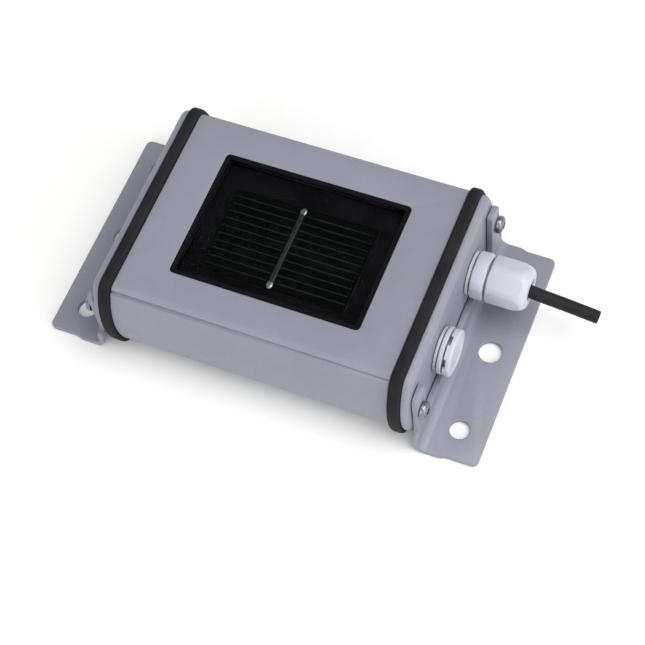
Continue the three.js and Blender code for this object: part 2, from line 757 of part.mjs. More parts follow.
// A four-terminal current shunt: a strip of resistance alloy raised between two feet.
function shuntResistor() {
  const [x, y] = [8, -22];
  const width = 4;
  const outline = new THREE.Shape();
  outline.moveTo(x - 7, PARTS_Z);
  outline.lineTo(x - 7, PARTS_Z + 0.8);
  outline.lineTo(x - 4, PARTS_Z + 0.8);
  outline.lineTo(x - 3, PARTS_Z + 2.4);
  outline.lineTo(x + 3, PARTS_Z + 2.4);
  outline.lineTo(x + 4, PARTS_Z + 0.8);
  outline.lineTo(x + 7, PARTS_Z + 0.8);
  outline.lineTo(x + 7, PARTS_Z);
  outline.lineTo(x + 3.4, PARTS_Z);
  outline.lineTo(x + 2.4, PARTS_Z + 1.6);
  outline.lineTo(x - 2.4, PARTS_Z + 1.6);
  outline.lineTo(x - 3.4, PARTS_Z);
  const strip = new THREE.ExtrudeGeometry(outline, { depth: width, bevelEnabled: false });
  return strip.rotateX(Math.PI / 2).translate(0, y + width / 2, 0);
}

function bufferCapacitor() {
  const [x, y] = [28, -10];
  const base = block([x - 3.3, y - 3.3, PARTS_Z], [x + 3.3, y + 3.3, PARTS_Z + 1]);
  return join(base, barZ(3.1, PARTS_Z + 0.5, PARTS_Z + 6, x, y, 20));
}

function surgeSuppressor() {
  const [x, y] = [18, 26];
  return join(
    block([x - 3.4, y - 3, PARTS_Z + 0.3], [x + 3.4, y + 3, PARTS_Z + 2.4]),
    block([x - 4.2, y - 1.4, PARTS_Z], [x + 4.2, y + 1.4, PARTS_Z + 0.8]),
  );
}

// ---------- terminal block ----------
const TERMINAL_DEPTH = 8;
const TERMINAL_HEIGHT = 8.5;
const TERMINAL_ENTRY_Z = PARTS_Z + 3;
const TERMINAL_SCREW_X = TERMINAL_X - 0.5;
const polePlaces = Array.from({ length: CORE_COUNT }, (_, i) => {
  return GLAND_Y + TERMINAL_PITCH * (i - (CORE_COUNT - 1) / 2);
});

function terminalBlock() {
  const halfWidth = (CORE_COUNT * TERMINAL_PITCH) / 2 + 0.5;
  const x1 = TERMINAL_X + TERMINAL_DEPTH / 2;
  const top = PARTS_Z + TERMINAL_HEIGHT;
  const body = block(
    [TERMINAL_X - TERMINAL_DEPTH / 2, GLAND_Y - halfWidth, PARTS_Z],
    [x1, GLAND_Y + halfWidth, top],
  );
  const entries = polePlaces.map((y) => {
    return block([x1 - 5, y - 1.1, TERMINAL_ENTRY_Z - 1.2], [x1 + 1, y + 1.1, TERMINAL_ENTRY_Z + 1.2]);
  });
  const wells = polePlaces.map((y) => barZ(1.45, top - 3, top + 1, TERMINAL_SCREW_X, y, 12));
  return cut(body, ...entries, ...wells);
}

function terminalScrew(y) {
  const top = PARTS_Z + TERMINAL_HEIGHT - 0.8;
  const body = barZ(1.15, top - 1.8, top, TERMINAL_SCREW_X, y, 12);
  return cut(body, block([0, y - 0.2, top - 0.6], [2 * TERMINAL_X, y + 0.2, top + 1]));
}

// ---------- cable ----------
const CABLE_FREE_START = 68.5;
const CABLE_ROUTE = [
  [68.5, 17, 19.5],
  [70, 17, 19.5],
  [71.5, 16.98, 19.47],
  [73, 16.92, 19.39],
  [74.5, 16.82, 19.25],
  [76, 16.73, 19.1],
  [77.5, 16.65, 18.93],
  [79, 16.6, 18.77],
  [80.5, 16.57, 18.62],
  [82, 16.55, 18.46],
  [84, 16.55, 18.23],
  [86, 16.55, 17.97],
  [88, 16.55, 17.68],
  [90, 16.55, 17.37],
  [92, 16.55, 17.05],
  [94, 16.55, 16.72],
  [96, 16.55, 16.38],
  [98, 16.55, 16.03],
  [99.2, 16.55, 15.82],
];

function cableEntry() {
  const end = CABLE_FREE_START - GAP;
  return barX(CABLE_RADIUS, CABLE_STRIPPED_X, end, GLAND_Y, GLAND_Z, 12);
}

function cableCore(index) {
  const side = index - (CORE_COUNT - 1) / 2;
  const y = polePlaces[index];
  const start = CABLE_STRIPPED_X - GAP;
  const entryX = TERMINAL_X + TERMINAL_DEPTH / 2;
  const points = [
    [start, GLAND_Y + 1.25 * side, GLAND_Z],
    [start - 1.2, GLAND_Y + 1.6 * side, GLAND_Z],
    [(start + entryX) / 2, GLAND_Y + 2.6 * side, (GLAND_Z + TERMINAL_ENTRY_Z) / 2],
    [entryX + 1.2, y, TERMINAL_ENTRY_Z],
    [entryX - 3.5, y, TERMINAL_ENTRY_Z],
  ];
  return wire(points, CORE_RADIUS - 0.1, 6, 10);
}

// ---------- assembly ----------
const sensor = new THREE.Group();

function add(parent, name, geometry, material) {
  const mesh = new THREE.Mesh(geometry, material);
  mesh.name = name;
  parent.add(mesh);
}

// One end of the housing: gasket, cap, bracket and the two screws that hold them.
function endSet(name, holes) {
  const end = new THREE.Group();
  add(end, `${name}_gasket`, gasket(), BLACK_RUBBER);
  add(end, `${name}_end_cap`, endCap(holes), COATED_ALUMINIUM);
  add(end, `${name}_bracket`, bracket(), COATED_ALUMINIUM);
  add(end, `${name}_front_screw`, capScrew(-SCREW_Y, SCREW_Z), STEEL);
  add(end, `${name}_back_screw`, capScrew(SCREW_Y, SCREW_Z), STEEL);
  return end;
}

const glandHole = barX(STUD_HOLE, CAP_START - 1, CAP_FACE + 1, GLAND_Y, GLAND_Z);
const ventHole = barX(STUD_HOLE, CAP_START - 1, CAP_FACE + 1, VENT_Y, VENT_Z);
const cableEnd = endSet("cable_side", [glandHole, ventHole]);
const plainEnd = endSet("plain_side", []);
plainEnd.rotation.z = Math.PI;
add(sensor, "housing", housing(), COATED_ALUMINIUM);
sensor.add(cableEnd, plainEnd);

add(sensor, "window_sealant", windowSealant(), BLACK_RUBBER);
add(sensor, "cover_glass", coverGlass(), COVER_GLASS);
add(sensor, "solar_cell", solarCell(), SILICON);
add(sensor, "front_ribbon", cellRibbon(CELL_TOP + 0.05), TINNED_COPPER);
add(sensor, "rear_ribbon", cellRibbon(BACKSHEET_TOP + 0.05), TINNED_COPPER);
add(sensor, "backsheet", backsheet(), BLACK_SHEET);
add(sensor, "laminate_tray", laminateTray(), TRAY_PLASTIC);
for (const place of LEAD_PLACES) {
  add(sensor, place.name, cellLead(place), finish(place.colour, 0.5));
}
add(sensor, "temperature_sensor", temperatureSensor(), CERAMIC);
add(sensor, "temperature_lead_a", temperatureLead(-1), TINNED_COPPER);
add(sensor, "temperature_lead_b", temperatureLead(1), TINNED_COPPER);

add(sensor, "gland_body", glandBody(), PALE_NYLON);
add(sensor, "gland_flat_seal", flatSeal(GLAND_Y, GLAND_Z), PALE_RUBBER);
add(sensor, "gland_lock_nut", lockNut(GLAND_Y, GLAND_Z), PALE_NYLON);
add(sensor, "gland_rubber_seal", glandSeal(), PALE_RUBBER);
add(sensor, "gland_clamping_insert", clampingInsert(), PALE_NYLON);
add(sensor, "gland_dome_nut", domeNut(), PALE_NYLON);

add(sensor, "vent_body", ventBody(), PALE_NYLON);
add(sensor, "vent_flat_seal", flatSeal(VENT_Y, VENT_Z), PALE_RUBBER);
add(sensor, "vent_lock_nut", lockNut(VENT_Y, VENT_Z), PALE_NYLON);
add(sensor, "vent_membrane", ventMembrane(), MEMBRANE);
add(sensor, "vent_cap", ventCap(), PALE_NYLON);

add(sensor, "circuit_board", circuitBoard(), BOARD_GREEN);
add(sensor, "amplifier_chip", chip(-6, -4, 5, 4, 1.8, 4), CHIP_BLACK);
add(sensor, "supply_regulator", chip(10, 26, 6.4, 3.6, 1.8, 3), CHIP_BLACK);
add(sensor, "shunt_resistor", shuntResistor(), TINNED_COPPER);
add(sensor, "buffer_capacitor", bufferCapacitor(), STEEL);
add(sensor, "surge_suppressor", surgeSuppressor(), CHIP_BLACK);
add(sensor, "terminal_block", terminalBlock(), TERMINAL_GREEN);
polePlaces.forEach((y, i) => {
  add(sensor, `terminal_screw_${i + 1}`, terminalScrew(y), STEEL);
});

add(sensor, "cable_entry", cableEntry(), CABLE_BLACK);
CORE_COLOURS.forEach((colour, i) => {
  add(sensor, `cable_core_${i + 1}`, cableCore(i), finish(colour, 0.5));
});
add(sensor, "signal_cable", wire(CABLE_ROUTE, CABLE_RADIUS, 10, 8), CABLE_BLACK);

export default sensor;
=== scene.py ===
# Looks of the solar irradiance sensor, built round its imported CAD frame. Metres, Z up.
import math

import bmesh
import bpy
from mathutils import Matrix, Vector


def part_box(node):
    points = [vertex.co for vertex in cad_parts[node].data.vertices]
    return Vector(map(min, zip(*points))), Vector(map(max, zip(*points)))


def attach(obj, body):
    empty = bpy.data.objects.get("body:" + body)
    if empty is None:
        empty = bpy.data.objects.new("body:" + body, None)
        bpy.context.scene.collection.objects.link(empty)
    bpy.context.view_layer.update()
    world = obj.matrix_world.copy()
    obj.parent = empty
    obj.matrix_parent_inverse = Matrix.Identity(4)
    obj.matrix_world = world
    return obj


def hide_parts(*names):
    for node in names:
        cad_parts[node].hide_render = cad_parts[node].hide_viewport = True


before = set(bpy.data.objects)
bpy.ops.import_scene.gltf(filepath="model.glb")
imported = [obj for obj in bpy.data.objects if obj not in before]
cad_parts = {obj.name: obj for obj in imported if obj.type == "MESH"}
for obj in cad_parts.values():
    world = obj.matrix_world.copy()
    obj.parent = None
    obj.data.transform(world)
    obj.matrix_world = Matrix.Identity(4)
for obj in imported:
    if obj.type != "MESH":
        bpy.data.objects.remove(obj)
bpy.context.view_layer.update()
MM = 0.001

# ---------- sizes taken from the frame ----------
HOUSING_LOW, HOUSING_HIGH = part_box("housing")
GASKET_LOW, GASKET_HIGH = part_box("cable_side_gasket")
CAP_LOW, CAP_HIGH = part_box("cable_side_end_cap")
BRACKET_LOW, BRACKET_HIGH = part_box("cable_side_bracket")
GLASS_LOW, GLASS_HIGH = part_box("cover_glass")
CELL_LOW, CELL_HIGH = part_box("solar_cell")
RIBBON_LOW, RIBBON_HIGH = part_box("front_ribbon")
SEALANT_LOW, SEALANT_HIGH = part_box("window_sealant")

# ---------- sizes that the frame's boxes don't give ----------
SIDE_RADIUS = 34 * MM  # bowed sides of the gasket's outline
CORNER_RADIUS = 5.5 * MM
GASKET_PROUD = 1.5 * MM
WALL = 2 * MM
GROOVE_DEPTH = 0.8 * MM
GROOVE_HALF_ANGLE = math.radians(11)
GROOVE_ANGLE = math.radians(40)
GLAND_ACROSS = 15 * MM
GLAND_ROUND = 8.1 * MM  # radius that the hexagon's corners are turned down to
WINDOW_LENGTH = 66 * MM
WINDOW_WIDTH = 48 * MM
WINDOW_CORNER = 1.5 * MM
SHEET = 2 * MM
EDGE = 0.25 * MM  # broken edges of metal pieces
ARC_STEPS = 10
ROUND_SIDES = 64
GAP = 0.3 * MM  # clearance between two pieces that touch
AXIS = 0.05 * MM  # radius that closes a turned profile next to its axis
SCREW_HOLE = 1.8 * MM
STUD_RADIUS = 5.9 * MM  # threaded studs of the gland and the vent
STUD_PLAIN = 5.4 * MM
STUD_TIP = 5.1 * MM
STUD_HOLE = 6.2 * MM
THREAD_PITCH = 1.5 * MM
THREAD_DEPTH = 0.7 * MM
SEAL_CHAMBER = 4.9 * MM  # radius of the gland's room for its rubber seal
NOISE_LOW = 0.3  # most of a noise texture's values lie between these two
NOISE_HIGH = 0.7


# ---------- camera ----------
def add_camera():
    place = Vector((0.1494, -0.2326, 0.4833))
    target = Vector((0.0162, -0.0168, 0.020))
    roll = math.radians(10.87)
    data = bpy.data.cameras.new("photo_camera")
    data.lens = 90.5
    data.sensor_width = 36
    data.clip_start = 0.01
    camera = bpy.data.objects.new("photo_camera", data)
    aim = (target - place).to_track_quat("-Z", "Y").to_matrix().to_4x4()
    camera.matrix_world = Matrix.Translation(place) @ aim @ Matrix.Rotation(-roll, 4, "Z")
    bpy.context.scene.collection.objects.link(camera)
    bpy.context.scene.camera = camera


add_camera()


# ---------- shader helpers ----------
def start_material(name, colour, roughness, metallic=0.0, specular=0.5):
    material = bpy.data.materials.new(name)
    material.use_nodes = True
    nodes = material.node_tree.nodes
    shader = nodes["Principled BSDF"]
    shader.inputs["Base Color"].default_value = (*colour, 1)
    shader.inputs["Roughness"].default_value = roughness
    shader.inputs["Metallic"].default_value = metallic
    shader.inputs["Specular IOR Level"].default_value = specular
    return material, shader


def link(material, source, target):
    material.node_tree.links.new(source, target)


def object_coords(material, stretch=(1, 1, 1)):
    nodes = material.node_tree.nodes
    coords = nodes.new("ShaderNodeTexCoord")
    mapping = nodes.new("ShaderNodeMapping")
    mapping.inputs["Scale"].default_value = stretch
    link(material, coords.outputs["Object"], mapping.inputs["Vector"])
    return mapping.outputs["Vector"]


def noise(material, size, detail=2.0, stretch=(1, 1, 1)):
    """Noise whose features are about that size, in metres."""
    texture = material.node_tree.nodes.new("ShaderNodeTexNoise")
    texture.inputs["Scale"].default_value = 1 / size
    texture.inputs["Detail"].default_value = detail
    link(material, object_coords(material, stretch), texture.inputs["Vector"])
    return texture.outputs["Fac"]


def ramp(material, factor, low, high):
    """Turns a noise factor into a colour between low and high."""
    node = material.node_tree.nodes.new("ShaderNodeValToRGB")
    node.color_ramp.elements[0].position = NOISE_LOW
    node.color_ramp.elements[1].position = NOISE_HIGH
    node.color_ramp.elements[0].color = (*low, 1)
    node.color_ramp.elements[1].color = (*high, 1)
    link(material, factor, node.inputs["Fac"])
    return node.outputs["Color"]


def span(material, factor, low, high):
    """Turns a noise factor into a number between low and high."""
    node = material.node_tree.nodes.new("ShaderNodeMapRange")
    node.inputs["From Min"].default_value = NOISE_LOW
    node.inputs["From Max"].default_value = NOISE_HIGH
    node.inputs["To Min"].default_value = low
    node.inputs["To Max"].default_value = high
    link(material, factor, node.inputs["Value"])
    return node.outputs["Result"]


def tint(material, shader, factor, low, high):
    """Varies the surface's colour between low and high."""
    link(material, ramp(material, factor, low, high), shader.inputs["Base Color"])


def gloss(material, shader, factor, low, high):
    """Varies the surface's roughness between low and high."""
    link(material, span(material, factor, low, high), shader.inputs["Roughness"])


def bump(material, shader, height, depth, strength):
    node = material.node_tree.nodes.new("ShaderNodeBump")
    node.inputs["Distance"].default_value = depth
    node.inputs["Strength"].default_value = strength
    link(material, height, node.inputs["Height"])
    link(material, node.outputs["Normal"], shader.inputs["Normal"])


def scaled(colour, factor):
    return tuple(min(1, channel * factor) for channel in colour)


# ---------- materials ----------
def powder_coat():
    """Satin grey powder coat: orange peel, a fine speckle and a slow drift of tone."""
    base = (0.219, 0.226, 0.272)
    material, shader = start_material("powder_coat", base, 0.45)
    tone = noise(material, 22 * MM, 3)
    speckle = noise(material, 0.35 * MM, 1)
    mix = material.node_tree.nodes.new("ShaderNodeMix")
    mix.data_type = "RGBA"
    mix.inputs["Factor"].default_value = 0.35
    link(material, ramp(material, tone, scaled(base, 0.95), scaled(base, 1.05)), mix.inputs["A"])
    link(material, ramp(material, speckle, scaled(base, 0.80), scaled(base, 1.18)), mix.inputs["B"])
    link(material, mix.outputs["Result"], shader.inputs["Base Color"])
    gloss(material, shader, noise(material, 3 * MM), 0.40, 0.52)
    bump(material, shader, noise(material, 0.7 * MM, 2), 0.05 * MM, 0.5)
    return material


def rubber(name, colour, roughness, specular=0.14):
    material, shader = start_material(name, colour, roughness, specular=specular)
    dust = noise(material, 6 * MM, 4)
    tint(material, shader, dust, scaled(colour, 0.8), scaled(colour, 1.5))
    gloss(material, shader, dust, roughness - 0.08, roughness + 0.08)
    bump(material, shader, noise(material, 0.25 * MM, 3), 0.03 * MM, 0.5)
    return material


def nylon(name, colour):
    """Moulded nylon with a fine eroded texture and a little light under its skin."""
    material, shader = start_material(name, colour, 0.38)
    shader.inputs["Subsurface Weight"].default_value = 0.12
    shader.inputs["Subsurface Radius"].default_value = (1.0, 0.9, 0.8)
    shader.inputs["Subsurface Scale"].default_value = 0.6 * MM
    tone = noise(material, 5 * MM, 2)
    tint(material, shader, tone, scaled(colour, 0.97), scaled(colour, 1.03))
    gloss(material, shader, tone, 0.33, 0.43)
    bump(material, shader, noise(material, 0.2 * MM, 2), 0.015 * MM, 0.4)
    return material


def moulded(name, colour, roughness):
    material, shader = start_material(name, colour, roughness)
    tone = noise(material, 3 * MM, 3)
    tint(material, shader, tone, scaled(colour, 0.9), scaled(colour, 1.1))
    gloss(material, shader, tone, roughness - 0.05, roughness + 0.06)
    bump(material, shader, noise(material, 0.3 * MM, 2), 0.02 * MM, 0.4)
    return material


def turned_steel(name, colour, along=(1, 1, 1)):
    """Metal with fine machining lines; along stretches the lines on one axis."""
    material, shader = start_material(name, colour, 0.32, 1.0)
    lines = noise(material, 0.3 * MM, 3, along)
    tint(material, shader, lines, scaled(colour, 0.8), scaled(colour, 1.15))
    gloss(material, shader, lines, 0.24, 0.42)
    bump(material, shader, lines, 0.01 * MM, 0.4)
    return material


def clear_glass():
    """Low-iron solar glass with a coating that keeps its reflections down."""
    material, shader = start_material("clear_glass", (0.97, 0.99, 0.98), 0.03)
    shader.inputs["Transmission Weight"].default_value = 1.0
    shader.inputs["IOR"].default_value = 1.38
    drift = noise(material, 15 * MM, 2)
    tint(material, shader, drift, (0.95, 0.97, 0.96), (0.98, 0.99, 0.99))
    gloss(material, shader, drift, 0.02, 0.05)
    return material


def silicon():
    """Textured silicon: nearly black, with a green-blue cast that drifts over the wafer."""
    material, shader = start_material("silicon", (0.0016, 0.0027, 0.0029), 0.30, specular=0.08)
    tone = noise(material, 9 * MM, 3)
    tint(material, shader, tone, (0.0013, 0.0021, 0.0024), (0.0021, 0.0033, 0.0033))
    gloss(material, shader, noise(material, 0.8 * MM, 2), 0.26, 0.36)
    bump(material, shader, noise(material, 0.5 * MM, 2), 0.01 * MM, 0.1)
    return material


def silver_print():
    material, shader = start_material("silver_print", (0.022, 0.027, 0.027), 0.55, specular=0.15)
    grain = noise(material, 0.2 * MM, 2)
    tint(material, shader, grain, (0.015, 0.019, 0.019), (0.029, 0.034, 0.034))
    bump(material, shader, grain, 0.01 * MM, 0.4)
    return material


def black_film():
    """The laminate's black film: matt, faintly purple, with a soft press texture."""
    base = (0.0050, 0.0047, 0.0064)
    material, shader = start_material("black_film", base, 0.35, specular=0.1)
    tone = noise(material, 7 * MM, 3)
    tint(material, shader, tone, scaled(base, 0.85), scaled(base, 1.25))
    gloss(material, shader, tone, 0.30, 0.42)
    bump(material, shader, noise(material, 0.6 * MM, 2), 0.02 * MM, 0.4)
    return material


def board_green():
    """Solder mask with copper tracks showing through as slightly lighter lines."""
    base = (0.018, 0.085, 0.034)
    material, shader = start_material("board_green", base, 0.35)
    bricks = material.node_tree.nodes.new("ShaderNodeTexBrick")
    bricks.inputs["Scale"].default_value = 1 / (12 * MM)
    bricks.inputs["Mortar Size"].default_value = 0.03
    bricks.inputs["Color1"].default_value = (*base, 1)
    bricks.inputs["Color2"].default_value = (*scaled(base, 0.9), 1)
    bricks.inputs["Mortar"].default_value = (*scaled(base, 1.8), 1)
    link(material, object_coords(material), bricks.inputs["Vector"])
    link(material, bricks.outputs["Color"], shader.inputs["Base Color"])
    bump(material, shader, noise(material, 0.5 * MM, 2), 0.02 * MM, 0.3)
    return material


COAT = powder_coat()
GASKET_RUBBER = rubber("gasket_rubber", (0.0110, 0.0108, 0.0125), 0.72)
SEALANT_RUBBER = rubber("sealant_rubber", (0.0040, 0.0038, 0.0048), 0.80, 0.06)
SEAL_RUBBER = moulded("seal_rubber", (0.42, 0.43, 0.46), 0.7)
JACKET = rubber("cable_jacket", (0.0105, 0.0103, 0.0120), 0.60, 0.18)
PALE_NYLON = nylon("pale_nylon", (0.475, 0.48, 0.54))
STEEL = turned_steel("turned_steel", (0.24, 0.25, 0.28))
TINNED = turned_steel("tinned_copper", (0.13, 0.137, 0.140), (1, 0.15, 1))
SOLDER = turned_steel("solder", (0.50, 0.52, 0.53))
COPPER = turned_steel("copper", (0.72, 0.36, 0.22))
CAN = turned_steel("aluminium_can", (0.62, 0.62, 0.64), (1, 1, 0.2))
GLASS = clear_glass()
SILICON = silicon()
SILVER = silver_print()
FILM = black_film()
BOARD = board_green()
TRAY = moulded("tray_plastic", (0.03, 0.03, 0.033), 0.6)
CHIP = moulded("chip_epoxy", (0.02, 0.02, 0.022), 0.55)
CERAMIC = moulded("ceramic", (0.72, 0.70, 0.65), 0.6)
TERMINAL = moulded("terminal_plastic", (0.03, 0.24, 0.09), 0.45)
MEMBRANE = moulded("vent_membrane", (0.80, 0.80, 0.76), 0.85)
FILLER = moulded("cable_filler", (0.42, 0.42, 0.43), 0.7)
WIRES = {
    "red": moulded("wire_red", (0.40, 0.03, 0.02), 0.4),
    "black": moulded("wire_black", (0.02, 0.02, 0.022), 0.4),
    "orange": moulded("wire_orange", (0.60, 0.20, 0.03), 0.4),
    "brown": moulded("wire_brown", (0.16, 0.07, 0.03), 0.4),
}


# ---------- mesh helpers ----------
def finish_piece(name, bm, material, smooth_angle=30):
    """A new object from a bmesh, smooth shaded but sharp at real edges."""
    bmesh.ops.recalc_face_normals(bm, faces=bm.faces)
    mesh = bpy.data.meshes.new(name)
    bm.to_mesh(mesh)
    bm.free()
    mesh.materials.append(material)
    mesh.shade_smooth()
    mesh.set_sharp_from_angle(angle=math.radians(smooth_angle))
    piece = bpy.data.objects.new(name, mesh)
    bpy.context.scene.collection.objects.link(piece)
    return piece


def loft(rings, closed=False):
    """A bmesh through rings of equal length: a closed loop of rings, or capped at both ends."""
    bm = bmesh.new()
    rows = [[bm.verts.new(point) for point in ring] for ring in rings]
    count = len(rows[0])
    pairs = list(zip(rows, rows[1:]))
    if closed:
        pairs.append((rows[-1], rows[0]))
    for first, second in pairs:
        for i in range(count):
            j = (i + 1) % count
            bm.faces.new((first[i], first[j], second[j], second[i]))
    if not closed:
        bm.faces.new(rows[0])
        bm.faces.new(list(reversed(rows[-1])))
    return bm


def tool(bm):
    """A throwaway object that cuts or joins another one."""
    bmesh.ops.recalc_face_normals(bm, faces=bm.faces)
    mesh = bpy.data.meshes.new("tool")
    bm.to_mesh(mesh)
    bm.free()
    piece = bpy.data.objects.new("tool", mesh)
    bpy.context.scene.collection.objects.link(piece)
    return piece


def bake_modifiers(piece, smooth_angle=30):
    bpy.context.view_layer.update()
    depsgraph = bpy.context.evaluated_depsgraph_get()
    mesh = bpy.data.meshes.new_from_object(piece.evaluated_get(depsgraph))
    piece.modifiers.clear()
    old = piece.data
    piece.data = mesh
    bpy.data.meshes.remove(old)
    mesh.shade_smooth()
    mesh.set_sharp_from_angle(angle=math.radians(smooth_angle))


def boolean(piece, tools, operation="DIFFERENCE"):
    for cutter in tools:
        modifier = piece.modifiers.new("boolean", "BOOLEAN")
        modifier.object = cutter
        modifier.operation = operation
        modifier.solver = "EXACT"
    bake_modifiers(piece)
    for cutter in tools:
        mesh = cutter.data
        bpy.data.objects.remove(cutter)
        bpy.data.meshes.remove(mesh)


def soften(piece, width, segments=2, angle=40):
    """Rounds every edge sharper than the angle."""
    modifier = piece.modifiers.new("bevel", "BEVEL")
    modifier.width = width
    modifier.segments = segments
    modifier.limit_method = "ANGLE"
    modifier.angle_limit = math.radians(angle)
    modifier.use_clamp_overlap = True
    modifier.miter_outer = "MITER_ARC"
    bake_modifiers(piece, 35)


def mirrored_end(piece, name):
    """The same piece for the plain end: half a turn about the middle."""
    copy = bpy.data.objects.new(name, piece.data.copy())
    copy.data.transform(Matrix.Rotation(math.pi, 4, "Z"))
    bpy.context.scene.collection.objects.link(copy)
    return copy


def arc(centre, radius, start, end, steps):
    """Points from the start angle to the end angle, both included."""
    points = []
    for i in range(steps + 1):
        angle = start + (end - start) * i / steps
        points.append((centre[0] + radius * math.cos(angle), centre[1] + radius * math.sin(angle)))
    return points


def ring_yz(points, x):
    return [Vector((x, y, z)) for y, z in points]


def lathe_x(profile, y, z, sides=ROUND_SIDES):
    """Rings turned about an axis along X, one for each (radius, x) point of the profile."""
    rings = []
    for radius, x in profile:
        ring = []
        for i in range(sides):
            angle = 2 * math.pi * i / sides
            ring.append(Vector((x, y + radius * math.cos(angle), z + radius * math.sin(angle))))
        rings.append(ring)
    return rings


def box_bm(low, high):
    bm = bmesh.new()
    size = Vector(high) - Vector(low)
    middle = (Vector(high) + Vector(low)) / 2
    matrix = Matrix.Translation(middle) @ Matrix.Diagonal((*size, 1))
    bmesh.ops.create_cube(bm, size=1, matrix=matrix)
    return bm


def axis_of(node):
    """The (y, z) of the axis of a round node that points along X."""
    low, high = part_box(node)
    return (low[1] + high[1]) / 2, (low[2] + high[2]) / 2


def done(piece, *nodes, slot, body="root"):
    """The piece rides on its body and stands for its CAD nodes."""
    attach(piece, body)
    if nodes:
        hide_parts(*nodes)
    return piece


# ---------- the cross-section that the housing, gaskets and caps share ----------
def section(inset, groove=0.0):
    """(y, z) points of the gasket's outline, or of one inset from it.

    A groove of that depth sinks into the upper corners.
    """
    half_height = (GASKET_HIGH[2] - GASKET_LOW[2]) / 2 - inset
    middle = (GASKET_HIGH[2] + GASKET_LOW[2]) / 2
    side = SIDE_RADIUS - inset
    corner = max(CORNER_RADIUS - inset, 0.5 * MM)
    side_y = GASKET_HIGH[1] - SIDE_RADIUS
    corner_z = half_height - corner
    corner_y = side_y + math.sqrt((side - corner) ** 2 - corner_z**2)
    turn = math.atan2(corner_z, corner_y - side_y)
    top = (corner_y, middle + corner_z)
    low = (corner_y, middle - corner_z)
    half = arc(low, corner, -math.pi / 2, -turn, ARC_STEPS)
    half += arc((side_y, middle), side, -turn, turn, 3 * ARC_STEPS)[1:-1]
    half += arc(top, corner, turn, GROOVE_ANGLE - GROOVE_HALF_ANGLE, ARC_STEPS // 2)
    for share in (-0.75, -0.5, -0.25, 0, 0.25, 0.5, 0.75):
        angle = GROOVE_ANGLE + share * GROOVE_HALF_ANGLE
        depth = groove * math.cos(math.pi / 2 * share)
        half += arc(top, corner - depth, angle, angle, 1)[:1]
    half += arc(top, corner, GROOVE_ANGLE + GROOVE_HALF_ANGLE, math.pi / 2, ARC_STEPS // 2)
    return half + [(-y, z) for y, z in reversed(half)]


def rounded_rectangle(length, width, radius, z, steps=8, y=0.0):
    ring = []
    for quarter, (sx, sy) in enumerate(((1, 1), (-1, 1), (-1, -1), (1, -1))):
        centre = (sx * (length / 2 - radius), y + sy * (width / 2 - radius))
        start = quarter * math.pi / 2
        ring += [Vector((px, py, z)) for px, py in arc(centre, radius, start, start + math.pi / 2, steps)]
    return ring


# ---------- housing ----------
def housing():
    x0, x1 = HOUSING_LOW[0], HOUSING_HIGH[0]
    outer = section(GASKET_PROUD, GROOVE_DEPTH)
    chamfer = section(GASKET_PROUD + EDGE, GROOVE_DEPTH * 0.8)
    inner = section(GASKET_PROUD + WALL)
    rings = [
        ring_yz(inner, x0),
        ring_yz(chamfer, x0),
        ring_yz(outer, x0 + EDGE),
        ring_yz(outer, x1 - EDGE),
        ring_yz(chamfer, x1),
        ring_yz(inner, x1),
    ]
    piece = finish_piece("housing_shell", loft(rings, closed=True), COAT)
    boolean(piece, channel_solids(x0, x1), "UNION")
    boolean(piece, [window_tool()] + screw_tools(x0 - MM, x1 + MM))
    done(piece, "housing", slot="coated_aluminium")


def channel_solids(x0, x1):
    """Screw channels and board guides along the inside of the side walls."""
    channel = 3.4 * MM
    set_back = 0.02 * MM
    guide = 1.2 * MM
    guide_inside = 34.6 * MM
    guide_outside = 38.6 * MM
    board_low, board_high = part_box("circuit_board")
    screw_y, screw_z = axis_of("cable_side_back_screw")
    solids = []
    for side in (-1, 1):
        profile = [(channel, x0 + set_back), (channel, x1 - set_back)]
        solids.append(tool(loft(lathe_x(profile, side * screw_y, screw_z, 24))))
        for low in (board_low[2] - guide - GAP, board_high[2] + GAP):
            reach = sorted((side * guide_inside, side * guide_outside))
            solids.append(tool(box_bm((x0, reach[0], low), (x1, reach[1], low + guide))))
    return solids


def screw_tools(x0, x1):
    """Cuts the two screw holes of one end."""
    places = [axis_of(f"cable_side_{name}_screw") for name in ("front", "back")]
    return [tool(loft(lathe_x([(SCREW_HOLE, x0), (SCREW_HOLE, x1)], y, z, 24))) for y, z in places]


def window_tool():
    """Cuts the window with a small radius round its upper edge."""
    top = HOUSING_HIGH[2]
    radius = 0.35 * MM
    steps = 4
    outline = [(0, top - 3 * MM)]
    for i in range(steps + 1):
        angle = math.pi / 2 * i / steps
        outline.append((radius * (1 - math.cos(angle)), top - radius + radius * math.sin(angle)))
    outline.append((radius, top + MM))
    rings = []
    for grow, z in outline:
        length = WINDOW_LENGTH + 2 * grow
        width = WINDOW_WIDTH + 2 * grow
        rings.append(rounded_rectangle(length, width, WINDOW_CORNER + grow, z))
    return tool(loft(rings))


